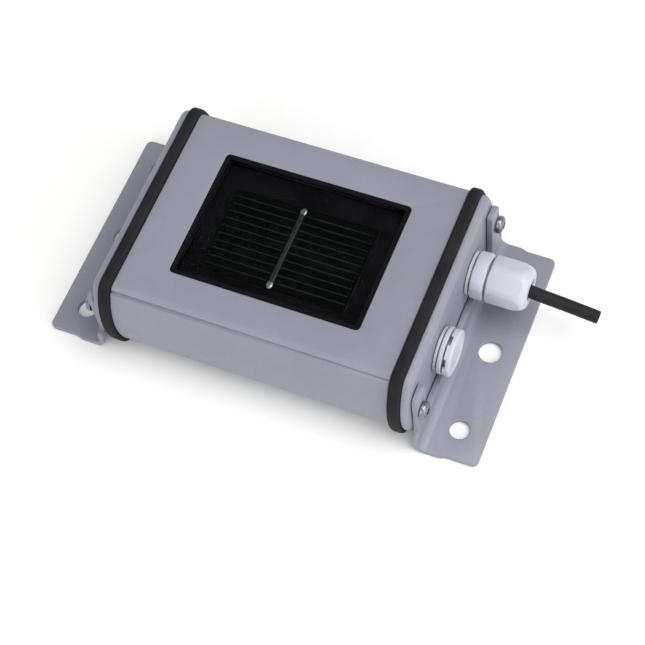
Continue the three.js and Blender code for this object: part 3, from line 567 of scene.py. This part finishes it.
# ---------- gaskets ----------
def gaskets():
    """A moulded ring with rolled edges, squeezed between the housing and the cap."""
    spread = 0.25 * MM
    x0 = GASKET_LOW[0] - spread
    x1 = GASKET_HIGH[0] + spread
    roll = 1.1 * MM
    steps = 6
    lip = GASKET_PROUD + WALL + MM
    profile = [(x0, lip), (x0, GASKET_PROUD + 0.2 * MM)]
    for i in range(steps + 1):
        angle = math.pi / 2 * i / steps
        profile.append((x0 + roll * (1 - math.cos(angle)), roll * (1 - math.sin(angle))))
    mirror = [(x0 + x1 - x, inset) for x, inset in reversed(profile)]
    rings = [ring_yz(section(inset), x) for x, inset in profile + mirror]
    piece = finish_piece("cable_side_rubber_gasket", loft(rings, closed=True), GASKET_RUBBER)
    boolean(piece, screw_tools(x0 - MM, x1 + MM))
    done(mirrored_end(piece, "plain_side_rubber_gasket"), "plain_side_gasket", slot="gasket_rubber")
    done(piece, "cable_side_gasket", slot="gasket_rubber")


# ---------- end caps ----------
def cap_plate(name):
    """A cast plate whose rim is rolled over to its flat face."""
    x0, x1 = CAP_LOW[0], CAP_HIGH[0]
    roll = 2.3 * MM
    profile = [(x0, GASKET_PROUD + EDGE), (x0 + EDGE, GASKET_PROUD)]
    for i in range(1, ARC_STEPS + 1):
        angle = math.pi / 2 * i / ARC_STEPS
        profile.append((x1 - roll + roll * math.sin(angle), GASKET_PROUD + roll * (1 - math.cos(angle))))
    rings = [ring_yz(section(inset), x) for x, inset in profile]
    return finish_piece(name, loft(rings), COAT)


def stud_hole(x0, x1, node):
    """Cuts the hole for the stud that passes through that seal."""
    return tool(loft(lathe_x([(STUD_HOLE, x0), (STUD_HOLE, x1)], *axis_of(node), 48)))


def end_caps():
    x0, x1 = CAP_LOW[0] - MM, CAP_HIGH[0] + MM
    plain = cap_plate("plain_side_cap")
    plain.data.transform(Matrix.Rotation(math.pi, 4, "Z"))
    boolean(plain, screw_tools(-x1, -x0))
    done(plain, "plain_side_end_cap", slot="coated_aluminium")
    cap = cap_plate("cable_side_cap")
    holes = [stud_hole(x0, x1, node) for node in ("gland_flat_seal", "vent_flat_seal")]
    boolean(cap, holes + screw_tools(x0, x1))
    done(cap, "cable_side_end_cap", slot="coated_aluminium")


# ---------- brackets ----------
LEG_TOP = 9 * MM
EAR_INSIDE = 31.5 * MM
EAR_OUTSIDE = 38.4 * MM
EAR_CORNER = 3 * MM
BEND_INNER = 3 * MM
FLANGE_HALF = 40.4 * MM
SHOULDER = 5.5 * MM
FLANGE_CORNER = 2 * MM
HOLE_X = 68 * MM
FLANGE_HOLES = ((0.0, 4.0 * MM), (-30 * MM, 3.4 * MM), (30 * MM, 3.4 * MM))


def brackets():
    piece = finish_piece("cable_side_bent_bracket", bent_sheet(), COAT)
    boolean(piece, [leg_waste(), *flange_waste()])
    soften(piece, 0.3 * MM)
    boolean(piece, flange_holes() + screw_tools(BRACKET_LOW[0] - MM, BRACKET_LOW[0] + SHEET + MM))
    done(mirrored_end(piece, "plain_side_bent_bracket"), "plain_side_bracket", slot="coated_aluminium")
    done(piece, "cable_side_bracket", slot="coated_aluminium")


def bent_sheet():
    """The bent strip as a profile in (x, z), run along Y."""
    leg = BRACKET_LOW[0]
    bend_outer = BEND_INNER + SHEET
    centre = (leg + bend_outer, bend_outer)
    top = BRACKET_HIGH[2]
    steps = 14
    profile = [(leg, top)] + arc(centre, bend_outer, math.pi, 1.5 * math.pi, steps)
    profile += [(BRACKET_HIGH[0], 0), (BRACKET_HIGH[0], SHEET)]
    profile += arc(centre, BEND_INNER, 1.5 * math.pi, math.pi, steps)
    profile.append((leg + SHEET, top))
    rings = [[Vector((x, y, z)) for x, z in profile] for y in (BRACKET_LOW[1], BRACKET_HIGH[1])]
    return loft(rings)


def leg_waste():
    """All of the upright strip but its low web and its two round-cornered ears."""
    reach = BRACKET_HIGH[1] + MM
    top = BRACKET_HIGH[2]
    corner_z = LEG_TOP + EAR_CORNER
    inside = EAR_INSIDE - EAR_CORNER
    outside = EAR_OUTSIDE - EAR_CORNER
    half = arc((inside, corner_z), EAR_CORNER, -math.pi / 2, 0, 6)
    half += arc((EAR_INSIDE + MM, top - MM), MM, math.pi, math.pi / 2, 4)
    half += arc((outside, top - EAR_CORNER), EAR_CORNER, math.pi / 2, 0, 8)
    shoulder = (BRACKET_HIGH[1] - EAR_OUTSIDE) / 2
    half += arc((EAR_OUTSIDE + shoulder, LEG_TOP + shoulder), shoulder, math.pi, 1.5 * math.pi, 5)
    half += arc((EAR_OUTSIDE + shoulder, LEG_TOP - shoulder), shoulder, math.pi / 2, 0, 5)[1:]
    half += [(reach, LEG_TOP - shoulder), (reach, top + MM)]
    outline = half + [(-y, z) for y, z in reversed(half)]
    x0, x1 = BRACKET_LOW[0] - MM, BRACKET_LOW[0] + SHEET + MM
    return tool(loft([ring_yz(outline, x0), ring_yz(outline, x1)]))


def flange_waste():
    """What narrows the flange beyond the bend and rounds its corners."""
    end = BRACKET_HIGH[0]
    shoulder = BRACKET_LOW[0] + BEND_INNER + SHEET + SHOULDER
    bend_half = BRACKET_HIGH[1]
    wastes = []
    for side in (-1, 1):
        outline = [(shoulder - 1.5 * MM, bend_half), (shoulder - 0.5 * MM, bend_half - 0.25 * MM)]
        outline += [(shoulder + 0.5 * MM, FLANGE_HALF + 0.15 * MM), (shoulder + 1.5 * MM, FLANGE_HALF)]
        centre = (end - FLANGE_CORNER, FLANGE_HALF - FLANGE_CORNER)
        outline += arc(centre, FLANGE_CORNER, math.pi / 2, 0, 6)
        outline += [(end + 2 * MM, FLANGE_HALF - FLANGE_CORNER), (end + 2 * MM, bend_half + 2 * MM)]
        outline += [(shoulder - 1.5 * MM, bend_half + 2 * MM)]
        rings = [[Vector((x, side * y, z)) for x, y in outline] for z in (-MM, SHEET + MM)]
        wastes.append(tool(loft(rings)))
    return wastes


def flange_holes():
    """Punched holes with a small radius at both faces."""
    edge = 0.2 * MM
    outline = [(-MM, edge), (0, edge), (edge, 0)]
    outline += [(SHEET - edge, 0), (SHEET, edge), (SHEET + MM, edge)]
    tools = []
    for y, radius in FLANGE_HOLES:
        rings = []
        for z, grow in outline:
            circle = arc((HOLE_X, y), radius + grow, 0, 2 * math.pi, 48)[:-1]
            rings.append([Vector((px, py, z)) for px, py in circle])
        tools.append(tool(loft(rings)))
    return tools


# ---------- cap screws ----------
def cap_screws():
    for end in ("cable_side", "plain_side"):
        for place in ("front", "back"):
            node = f"{end}_{place}_screw"
            low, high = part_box(node)
            y, z = axis_of(node)
            face = max(abs(low[0]), abs(high[0]))
            piece = pan_screw(f"{node}_turned", face, y, z, high[0] - low[0])
            if end == "plain_side":
                piece.data.transform(Matrix.Translation((0, 2 * y, 0)) @ Matrix.Rotation(math.pi, 4, "Z"))
            done(piece, node, slot="steel")


def pan_screw(name, face, y, z, length):
    """A button head with a hexagonal socket on a threaded shank."""
    head_radius = 3 * MM
    head = 2.3 * MM
    rim = 0.9 * MM
    shank = 1.5 * MM
    pitch = 0.5 * MM
    steps = 8
    seat = face - head
    profile = [(AXIS, face - length), (shank - 0.5 * MM, face - length)]
    turns = int((length - head - 1.5 * MM) / pitch)
    for i in range(turns):
        start = face - length + 0.5 * MM + i * pitch
        profile += [(shank - 0.25 * MM, start), (shank, start + pitch / 2)]
    profile += [(shank - 0.1 * MM, seat), (head_radius - 0.1 * MM, seat), (head_radius, seat + 0.15 * MM)]
    for i in range(steps + 1):
        angle = math.pi / 2 * i / steps
        radius = head_radius * math.cos(angle) ** 0.7 if i < steps else AXIS
        profile.append((max(radius, AXIS), seat + rim + (head - rim) * math.sin(angle)))
    piece = finish_piece(name, loft(lathe_x(profile, y, z, 40)), STEEL)
    socket = [hexagon(2.4 * MM, x, y, z) for x in (face - 1.5 * MM, face + MM)]
    boolean(piece, [tool(loft(socket))])
    return piece


# ---------- window ----------
def cover_glass():
    """A slab with its upper edges ground."""
    length, width = GLASS_HIGH[0] - GLASS_LOW[0], GLASS_HIGH[1] - GLASS_LOW[1]
    grind = 0.15 * MM
    rings = []
    for z, inset in (
        (GLASS_LOW[2], 0),
        (GLASS_HIGH[2] - grind, 0),
        (GLASS_HIGH[2], grind),
    ):
        rings.append(rounded_rectangle(length - 2 * inset, width - 2 * inset, 0.6 * MM, z))
    done(finish_piece("cover_glass_slab", loft(rings), GLASS), "cover_glass", slot="cover_glass")


def window_sealant():
    """A bead bonded to the glass's edge, which it laps over."""
    length, width = WINDOW_LENGTH - 0.04 * MM, WINDOW_WIDTH - 0.04 * MM
    gap = (length - GLASS_HIGH[0] + GLASS_LOW[0]) / 2
    glass_top = GLASS_HIGH[2] + 0.02 * MM
    bond = gap + 0.04 * MM  # just inside the glass, so that no light gets between them
    lap = gap + 0.45 * MM
    skirt = gap - 0.25 * MM
    glass_foot = GLASS_LOW[2] + 0.05 * MM
    profile = [(skirt, SEALANT_LOW[2]), (skirt, glass_foot), (bond, glass_foot)]
    profile += [(bond, glass_top), (lap, glass_top)]
    steps = 6
    for i in range(steps + 1):
        share = i / steps
        rise = 0.04 * MM + 0.16 * MM * share
        profile.append((lap * (1 - share), glass_top + rise - 0.06 * MM * math.sin(math.pi * share)))
    profile.append((0, SEALANT_LOW[2]))
    rings = []
    for inset, z in profile:
        corner = max(WINDOW_CORNER - inset, 0.5 * MM)
        rings.append(rounded_rectangle(length - 2 * inset, width - 2 * inset, corner, z))
    piece = finish_piece("window_bead", loft(rings, closed=True), SEALANT_RUBBER)
    done(piece, "window_sealant", slot="gasket_rubber")


def solar_cell():
    """The wafer, with its printed fingers as a separate raised layer."""
    length, width = CELL_HIGH[0] - CELL_LOW[0], CELL_HIGH[1] - CELL_LOW[1]
    y = (CELL_HIGH[1] + CELL_LOW[1]) / 2
    top = CELL_HIGH[2] - 0.03 * MM
    edge = 0.06 * MM
    corner = 0.3 * MM
    rings = [
        rounded_rectangle(length, width, corner, CELL_LOW[2], 3, y),
        rounded_rectangle(length, width, corner, top - edge, 3, y),
        rounded_rectangle(length - 2 * edge, width - 2 * edge, corner, top, 3, y),
    ]
    done(finish_piece("cell_wafer", loft(rings), SILICON), "solar_cell", slot="silicon_cell")
    finger_count = 10
    finger_width = 0.32 * MM
    reach = length / 2 - 0.9 * MM
    pitch = width / (finger_count + 1)
    bm = bmesh.new()
    for i in range(finger_count):
        finger_y = y + (i - (finger_count - 1) / 2) * pitch
        add_strip(bm, (-reach, reach), finger_y, finger_width, (top - 0.01 * MM, CELL_HIGH[2]))
    done(finish_piece("cell_fingers", bm, SILVER), slot="tinned_copper")


def add_strip(bm, x_range, y, width, z_range):
    """One printed line, narrower at its top."""
    corners = []
    for z, half in ((z_range[0], width / 2), (z_range[1], width / 3)):
        corners.append([
            bm.verts.new((x_range[0], y - half, z)),
            bm.verts.new((x_range[1], y - half, z)),
            bm.verts.new((x_range[1], y + half, z)),
            bm.verts.new((x_range[0], y + half, z)),
        ])
    low, high = corners
    bm.faces.new(reversed(low))
    bm.faces.new(high)
    for i in range(4):
        j = (i + 1) % 4
        bm.faces.new((low[i], low[j], high[j], high[i]))


def front_ribbon():
    """A tinned ribbon across the cell, with a solder joint at each end."""
    low, high = RIBBON_LOW, RIBBON_HIGH
    middle = (low[0] + high[0]) / 2
    half = (high[0] - low[0]) * 0.42
    top = low[2] + 0.12 * MM
    outline = [(middle - half, low[2]), (middle + half, low[2])]
    outline += [(middle + 0.8 * half, top), (middle - 0.8 * half, top)]
    rows = [[Vector((x, y, z)) for x, z in outline] for y in (low[1] + 0.3 * MM, high[1] - 0.3 * MM)]
    strip = finish_piece("busbar_ribbon", loft(rows), TINNED)
    done(strip, "front_ribbon", slot="tinned_copper")
    pad_length = 1.4 * MM
    for place, y in (("front", low[1] + pad_length), ("back", high[1] - pad_length)):
        dome = solder_dome(middle, y, (1.0 * MM, pad_length), (low[2], high[2]))
        done(finish_piece(f"solder_pad_{place}", loft(dome), SOLDER), slot="tinned_copper")


def solder_dome(x, y, radii, z_range):
    """Rings of an oval dome that ends just short of a point."""
    steps = 6
    sides = 28
    rings = []
    for i in range(steps + 1):
        rise = math.pi / 2 * i / steps
        share = max(math.cos(rise), 0.02)
        z = z_range[0] + (z_range[1] - z_range[0]) * math.sin(rise)
        ring = []
        for k in range(sides):
            angle = 2 * math.pi * k / sides
            across = radii[0] * share * math.cos(angle)
            along = radii[1] * share * math.sin(angle)
            ring.append(Vector((x + across, y + along, z)))
        rings.append(ring)
    return rings


# ---------- gland ----------
def hexagon(across_flats, x, y, z):
    """A ring of six corners, one of them straight up."""
    radius = across_flats / math.sqrt(3)
    ring = []
    for k in range(6):
        angle = math.pi / 6 + math.pi / 3 * k
        ring.append(Vector((x, y + radius * math.cos(angle), z + radius * math.sin(angle))))
    return ring


def hex_solid(name, across_flats, x0, x1, y, z, envelope, material):
    """A hexagonal bar limited by a turned envelope, which gives it its chamfers."""
    ends = [hexagon(across_flats, x, y, z) for x in (x0, x1)]
    piece = finish_piece(name, loft(ends), material)
    boolean(piece, [tool(loft(lathe_x(envelope, y, z)))], "INTERSECT")
    return piece


def thread(x0, x1):
    """Profile points of thread roots and crests from x0 to x1."""
    root = STUD_RADIUS - THREAD_DEPTH
    points = []
    turns = int((x1 - x0) / THREAD_PITCH)
    for i in range(turns):
        start = x0 + i * THREAD_PITCH
        points += [(root, start), (root, start + 0.15 * THREAD_PITCH)]
        points += [(STUD_RADIUS, start + 0.5 * THREAD_PITCH), (STUD_RADIUS, start + 0.65 * THREAD_PITCH)]
    return points


def cable_gland():
    y, z = axis_of("gland_flat_seal")
    low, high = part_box("gland_body")
    nut_low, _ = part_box("gland_dome_nut")
    _, seal_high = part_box("gland_flat_seal")
    hex_start = seal_high[0] + GAP
    hex_end = nut_low[0] - 0.5 * MM
    corner = GLAND_ROUND - 0.1 * MM
    face = GLAND_ROUND - MM
    bevel = 0.5 * MM
    envelope = [
        (AXIS, hex_start),
        (face, hex_start),
        (corner, hex_start + bevel),
        (corner, hex_end - bevel),
        (face, hex_end),
        (AXIS, hex_end),
    ]
    body = hex_solid("gland_hexagon", GLAND_ACROSS, hex_start - MM, hex_end + MM, y, z, envelope, PALE_NYLON)
    soften(body, 0.25 * MM, 3, 25)
    stud = [(AXIS, low[0]), (STUD_TIP, low[0])]
    stud += thread(low[0] + 0.2 * MM, hex_start - 0.4 * MM)
    stud += [(STUD_PLAIN, hex_start), (STUD_PLAIN, hex_end + 0.1 * MM)]
    stud += thread(hex_end + 0.2 * MM, high[0] - 0.2 * MM)
    stud += [(STUD_TIP, high[0]), (AXIS, high[0])]
    boolean(body, [tool(loft(lathe_x(stud, y, z)))], "UNION")
    bore = 3 * MM
    seat = hex_end - 1.6 * MM
    chamber = [(AXIS, low[0] - MM), (bore, low[0] - MM), (bore, seat)]
    chamber += [(SEAL_CHAMBER, seat), (SEAL_CHAMBER, high[0] + MM), (AXIS, high[0] + MM)]
    boolean(body, [tool(loft(lathe_x(chamber, y, z)))])
    done(body, "gland_body", slot="pale_nylon")
    dome_nut(y, z)


def dome_nut(y, z):
    """The hexagonal nut with its domed crown and rounded corners."""
    low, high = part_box("gland_dome_nut")
    x0, x1 = low[0], high[0]
    wide = GLAND_ROUND
    narrow = 5.3 * MM
    shoulder = x0 + 8.6 * MM
    steps = 12
    envelope = [(AXIS, x0), (wide - 1.1 * MM, x0), (wide, x0 + 0.7 * MM)]
    for i in range(steps + 1):
        angle = math.pi / 2 * i / steps
        radius = narrow + (wide - narrow) * math.cos(angle) ** 0.9 if i < steps else narrow
        envelope.append((radius, shoulder + (x1 - shoulder) * math.sin(angle)))
    envelope.append((AXIS, x1))
    nut = hex_solid("gland_nut_dome", GLAND_ACROSS, x0 - MM, x1 + MM, y, z, envelope, PALE_NYLON)
    soften(nut, 0.45 * MM, 3, 22)
    _, body_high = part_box("gland_body")
    thread_end = body_high[0] + 1.5 * MM
    hole = 3.5 * MM
    hollow = [(AXIS, x0 - MM), (STUD_HOLE, x0 - MM), (STUD_HOLE, thread_end)]
    hollow += [(SEAL_CHAMBER, thread_end + 1.6 * MM), (hole, x1 - 3 * MM), (hole, x1 - 0.5 * MM)]
    hollow += [(hole + 0.5 * MM, x1), (hole + 0.5 * MM, x1 + MM), (AXIS, x1 + MM)]
    boolean(nut, [tool(loft(lathe_x(hollow, y, z)))])
    done(nut, "gland_dome_nut", slot="pale_nylon", body="dome_nut")


# ---------- vent ----------
def pressure_vent():
    y, z = axis_of("vent_flat_seal")
    low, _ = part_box("vent_body")
    _, seal_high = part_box("vent_flat_seal")
    flange = seal_high[0] + GAP
    flange_end = flange + 1.6 * MM
    neck_end = flange_end + 1.8 * MM
    radius = 8 * MM
    edge = 0.35 * MM
    bore = 2.4 * MM
    pocket = 3.6 * MM
    neck = 4.6 * MM
    profile = [(bore, low[0]), (STUD_TIP, low[0])]
    profile += thread(low[0] + 0.2 * MM, flange - 0.4 * MM)
    profile += [(STUD_PLAIN, flange), (radius - edge, flange), (radius, flange + edge)]
    profile += [(radius, flange_end - edge), (radius - edge, flange_end), (neck, flange_end)]
    profile += [(neck, neck_end), (pocket, neck_end), (pocket, flange_end), (bore, flange_end)]
    body = finish_piece("vent_threaded_body", loft(lathe_x(profile, y, z), closed=True), PALE_NYLON)
    done(body, "vent_body", slot="pale_nylon")
    vent_cap(y, z, radius)


def vent_cap(y, z, radius):
    """A shallow cap with rolled edges, a sunk centre and air slots round its rim."""
    low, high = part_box("vent_cap")
    x0, x1 = low[0], high[0]
    rim = 1.1 * MM
    roll = 0.7 * MM
    roof = x1 - 0.9 * MM
    sunk = x1 - 0.2 * MM
    steps = 5
    profile = [(AXIS, roof), (radius - rim, roof), (radius - rim, x0), (radius, x0)]
    for i in range(steps + 1):
        angle = math.pi / 2 * i / steps
        profile.append((radius - roll * (1 - math.cos(angle)), x1 - roll + roll * math.sin(angle)))
    profile += [(radius - 1.8 * MM, x1), (radius - 2.1 * MM, sunk), (AXIS, sunk)]
    cap = finish_piece("vent_round_cap", loft(lathe_x(profile, y, z)), PALE_NYLON)
    slot_count = 6
    slot_half = 1.7 * MM
    slots = []
    for i in range(slot_count):
        bar = box_bm((x0 - MM, radius - 2 * MM, -slot_half), (x0 + 0.8 * MM, radius + MM, slot_half))
        turn = 2 * math.pi * (i + 0.5) / slot_count
        bar.transform(Matrix.Translation((0, y, z)) @ Matrix.Rotation(turn, 4, "X"))
        slots.append(tool(bar))
    boolean(cap, slots)
    done(cap, "vent_cap", slot="pale_nylon")


# ---------- cable ----------
CABLE_RADIUS = 2.2 * MM
JACKET_WALL = 0.6 * MM
CORE_RADIUS = 0.52 * MM
COPPER_RADIUS = 0.28 * MM
CORE_PLACE = 0.80 * MM  # the cores' centres from the cable's
CABLE_ROUTE = [  # millimetres, from where the gland lets go of the cable to its cut end
    (68.5, 17, 19.5),
    (70, 17, 19.5),
    (71.5, 16.98, 19.47),
    (73, 16.92, 19.39),
    (74.5, 16.82, 19.25),
    (76, 16.73, 19.1),
    (77.5, 16.65, 18.93),
    (79, 16.6, 18.77),
    (80.5, 16.57, 18.62),
    (82, 16.55, 18.46),
    (84, 16.55, 18.23),
    (86, 16.55, 17.97),
    (88, 16.55, 17.68),
    (90, 16.55, 17.37),
    (92, 16.55, 17.05),
    (94, 16.55, 16.72),
    (96, 16.55, 16.38),
    (98, 16.55, 16.03),
    (99.2, 16.55, 15.82),
]


def cable():
    """The jacket with its cut end: a ring of jacket round the filler and four conductors."""
    route = [Vector(point) * MM for point in CABLE_ROUTE]
    sides = 40
    recess = 0.25 * MM
    rings = []
    for i, point in enumerate(route[:-1]):
        ahead = route[i + 1] - route[max(i - 1, 0)]
        rings.append(round_ring(point, ahead, CABLE_RADIUS, sides))
    end, ahead = route[-1], (route[-1] - route[-2]).normalized()
    for setback, inset in ((0.40, 0.0), (0.22, 0.06), (0.08, 0.16), (0.0, 0.34)):
        rings.append(round_ring(end - ahead * setback * MM, ahead, CABLE_RADIUS - inset * MM, sides))
    rings += short_bar(end, ahead, CABLE_RADIUS - JACKET_WALL, (0, recess), sides)
    jacket = finish_piece("cable_jacket", loft(rings), JACKET, 40)
    filler_radius = CABLE_RADIUS - JACKET_WALL - 0.05 * MM
    rings = short_bar(end, ahead, filler_radius, (recess - 0.02 * MM, 0.12 * MM), sides)
    filler = done(finish_piece("cable_filler", loft(rings), FILLER), slot="cable_jacket")
    cores = [filler] + cable_cores(end, ahead)
    done(jacket, "signal_cable", slot="cable_jacket")


def cable_cores(end, ahead):
    """The cut ends of four conductors, each a ring of insulation round its copper."""
    side = Vector((0, 1, 0))
    across = ahead.cross(side).normalized()
    pieces = []
    for i, colour in enumerate(("red", "black", "orange", "brown")):
        angle = math.pi / 4 + i * math.pi / 2
        centre = end + (side * math.cos(angle) + across * math.sin(angle)) * CORE_PLACE
        rings = short_bar(centre, ahead, CORE_RADIUS, (0.11 * MM, 0.02 * MM), 20)
        insulation = finish_piece(f"core_insulation_{i + 1}", loft(rings), WIRES[colour])
        pieces.append(done(insulation, slot=f"wire_{colour}"))
        rings = short_bar(centre, ahead, COPPER_RADIUS, (0.019 * MM, -0.06 * MM), 16)
        copper = finish_piece(f"core_copper_{i + 1}", loft(rings), COPPER)
        pieces.append(done(copper, slot="tinned_copper"))
    return pieces


def short_bar(centre, ahead, radius, setbacks, sides):
    """Two rings along the cable, each set back from the centre by its own distance."""
    return [round_ring(centre - ahead * setback, ahead, radius, sides) for setback in setbacks]


def round_ring(centre, ahead, radius, sides):
    ahead = ahead.normalized()
    side = Vector((0, 1, 0))
    up = ahead.cross(side).normalized()
    side = up.cross(ahead).normalized()
    ring = []
    for i in range(sides):
        angle = 2 * math.pi * i / sides
        ring.append(centre + (side * math.cos(angle) + up * math.sin(angle)) * radius)
    return ring


cable()


# ---------- CAD pieces that stay, with better materials ----------
KEPT = {
    "backsheet": FILM,
    "rear_ribbon": TINNED,
    "laminate_tray": TRAY,
    "cell_lead_positive": WIRES["red"],
    "cell_lead_negative": WIRES["black"],
    "temperature_sensor": CERAMIC,
    "temperature_lead_a": TINNED,
    "temperature_lead_b": TINNED,
    "gland_flat_seal": SEAL_RUBBER,
    "gland_lock_nut": PALE_NYLON,
    "gland_rubber_seal": SEAL_RUBBER,
    "gland_clamping_insert": PALE_NYLON,
    "vent_flat_seal": SEAL_RUBBER,
    "vent_lock_nut": PALE_NYLON,
    "vent_membrane": MEMBRANE,
    "circuit_board": BOARD,
    "amplifier_chip": CHIP,
    "supply_regulator": CHIP,
    "shunt_resistor": TINNED,
    "buffer_capacitor": CAN,
    "surge_suppressor": CHIP,
    "terminal_block": TERMINAL,
    "cable_entry": JACKET,
    "cable_core_1": WIRES["red"],
    "cable_core_2": WIRES["black"],
    "cable_core_3": WIRES["orange"],
    "cable_core_4": WIRES["brown"],
}
for number in range(1, 5):
    KEPT[f"terminal_screw_{number}"] = STEEL


def dress_kept_nodes():
    for name, material in KEPT.items():
        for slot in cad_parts[name].material_slots:
            slot.material = material


# ---------- floor and light ----------
def floor():
    bpy.ops.mesh.primitive_plane_add(size=6, location=(0, 0, -0.1 * MM))
    ground = bpy.context.object
    ground.name = "floor"
    material, shader = start_material("floor_paper", (0.88, 0.88, 0.87), 0.9)
    paper = noise(material, 8 * MM, 3)
    tint(material, shader, paper, (0.875, 0.875, 0.865), (0.885, 0.885, 0.875))
    ground.data.materials.append(material)


def area_light(name, place, target, size, power):
    data = bpy.data.lights.new(name, "AREA")
    data.shape = "DISK"
    data.size = size
    data.energy = power
    light = bpy.data.objects.new(name, data)
    light.location = place
    light.rotation_euler = (Vector(target) - Vector(place)).to_track_quat("-Z", "Y").to_euler()
    bpy.context.scene.collection.objects.link(light)


def lights():
    studio_world()
    middle = (0, 0, 0.02)
    area_light("key", (0.40, 0.05, 1.00), middle, 0.9, 8.5)
    area_light("fill", (-0.1, -0.95, 0.55), middle, 0.9, 2.6)
    area_light("side", (0.95, -0.25, 0.40), middle, 0.8, 3.5)


def studio_world():
    """A white room with one dark panel high at the back left, which the window mirrors."""
    world = bpy.data.worlds.new("studio")
    world.use_nodes = True
    nodes, links = world.node_tree.nodes, world.node_tree.links
    coords = nodes.new("ShaderNodeTexCoord")
    toward = nodes.new("ShaderNodeVectorMath")
    toward.operation = "DOT_PRODUCT"
    toward.inputs[1].default_value = Vector((-0.25, 0.41, 0.87)).normalized()
    panel = nodes.new("ShaderNodeMapRange")
    panel.inputs["From Min"].default_value = 0.80
    panel.inputs["From Max"].default_value = 0.95
    panel.inputs["To Min"].default_value = 0.68
    panel.inputs["To Max"].default_value = 0.02
    links.new(coords.outputs["Generated"], toward.inputs[0])
    links.new(toward.outputs["Value"], panel.inputs["Value"])
    links.new(panel.outputs["Result"], nodes["Background"].inputs["Strength"])
    nodes["Background"].inputs["Color"].default_value = (1, 1, 1, 1)
    bpy.context.scene.world = world


housing()
gaskets()
end_caps()
brackets()
cap_screws()
cover_glass()
window_sealant()
solar_cell()
front_ribbon()
cable_gland()
pressure_vent()
dress_kept_nodes()
floor()
lights()
bpy.context.scene.view_settings.view_transform = "Standard"
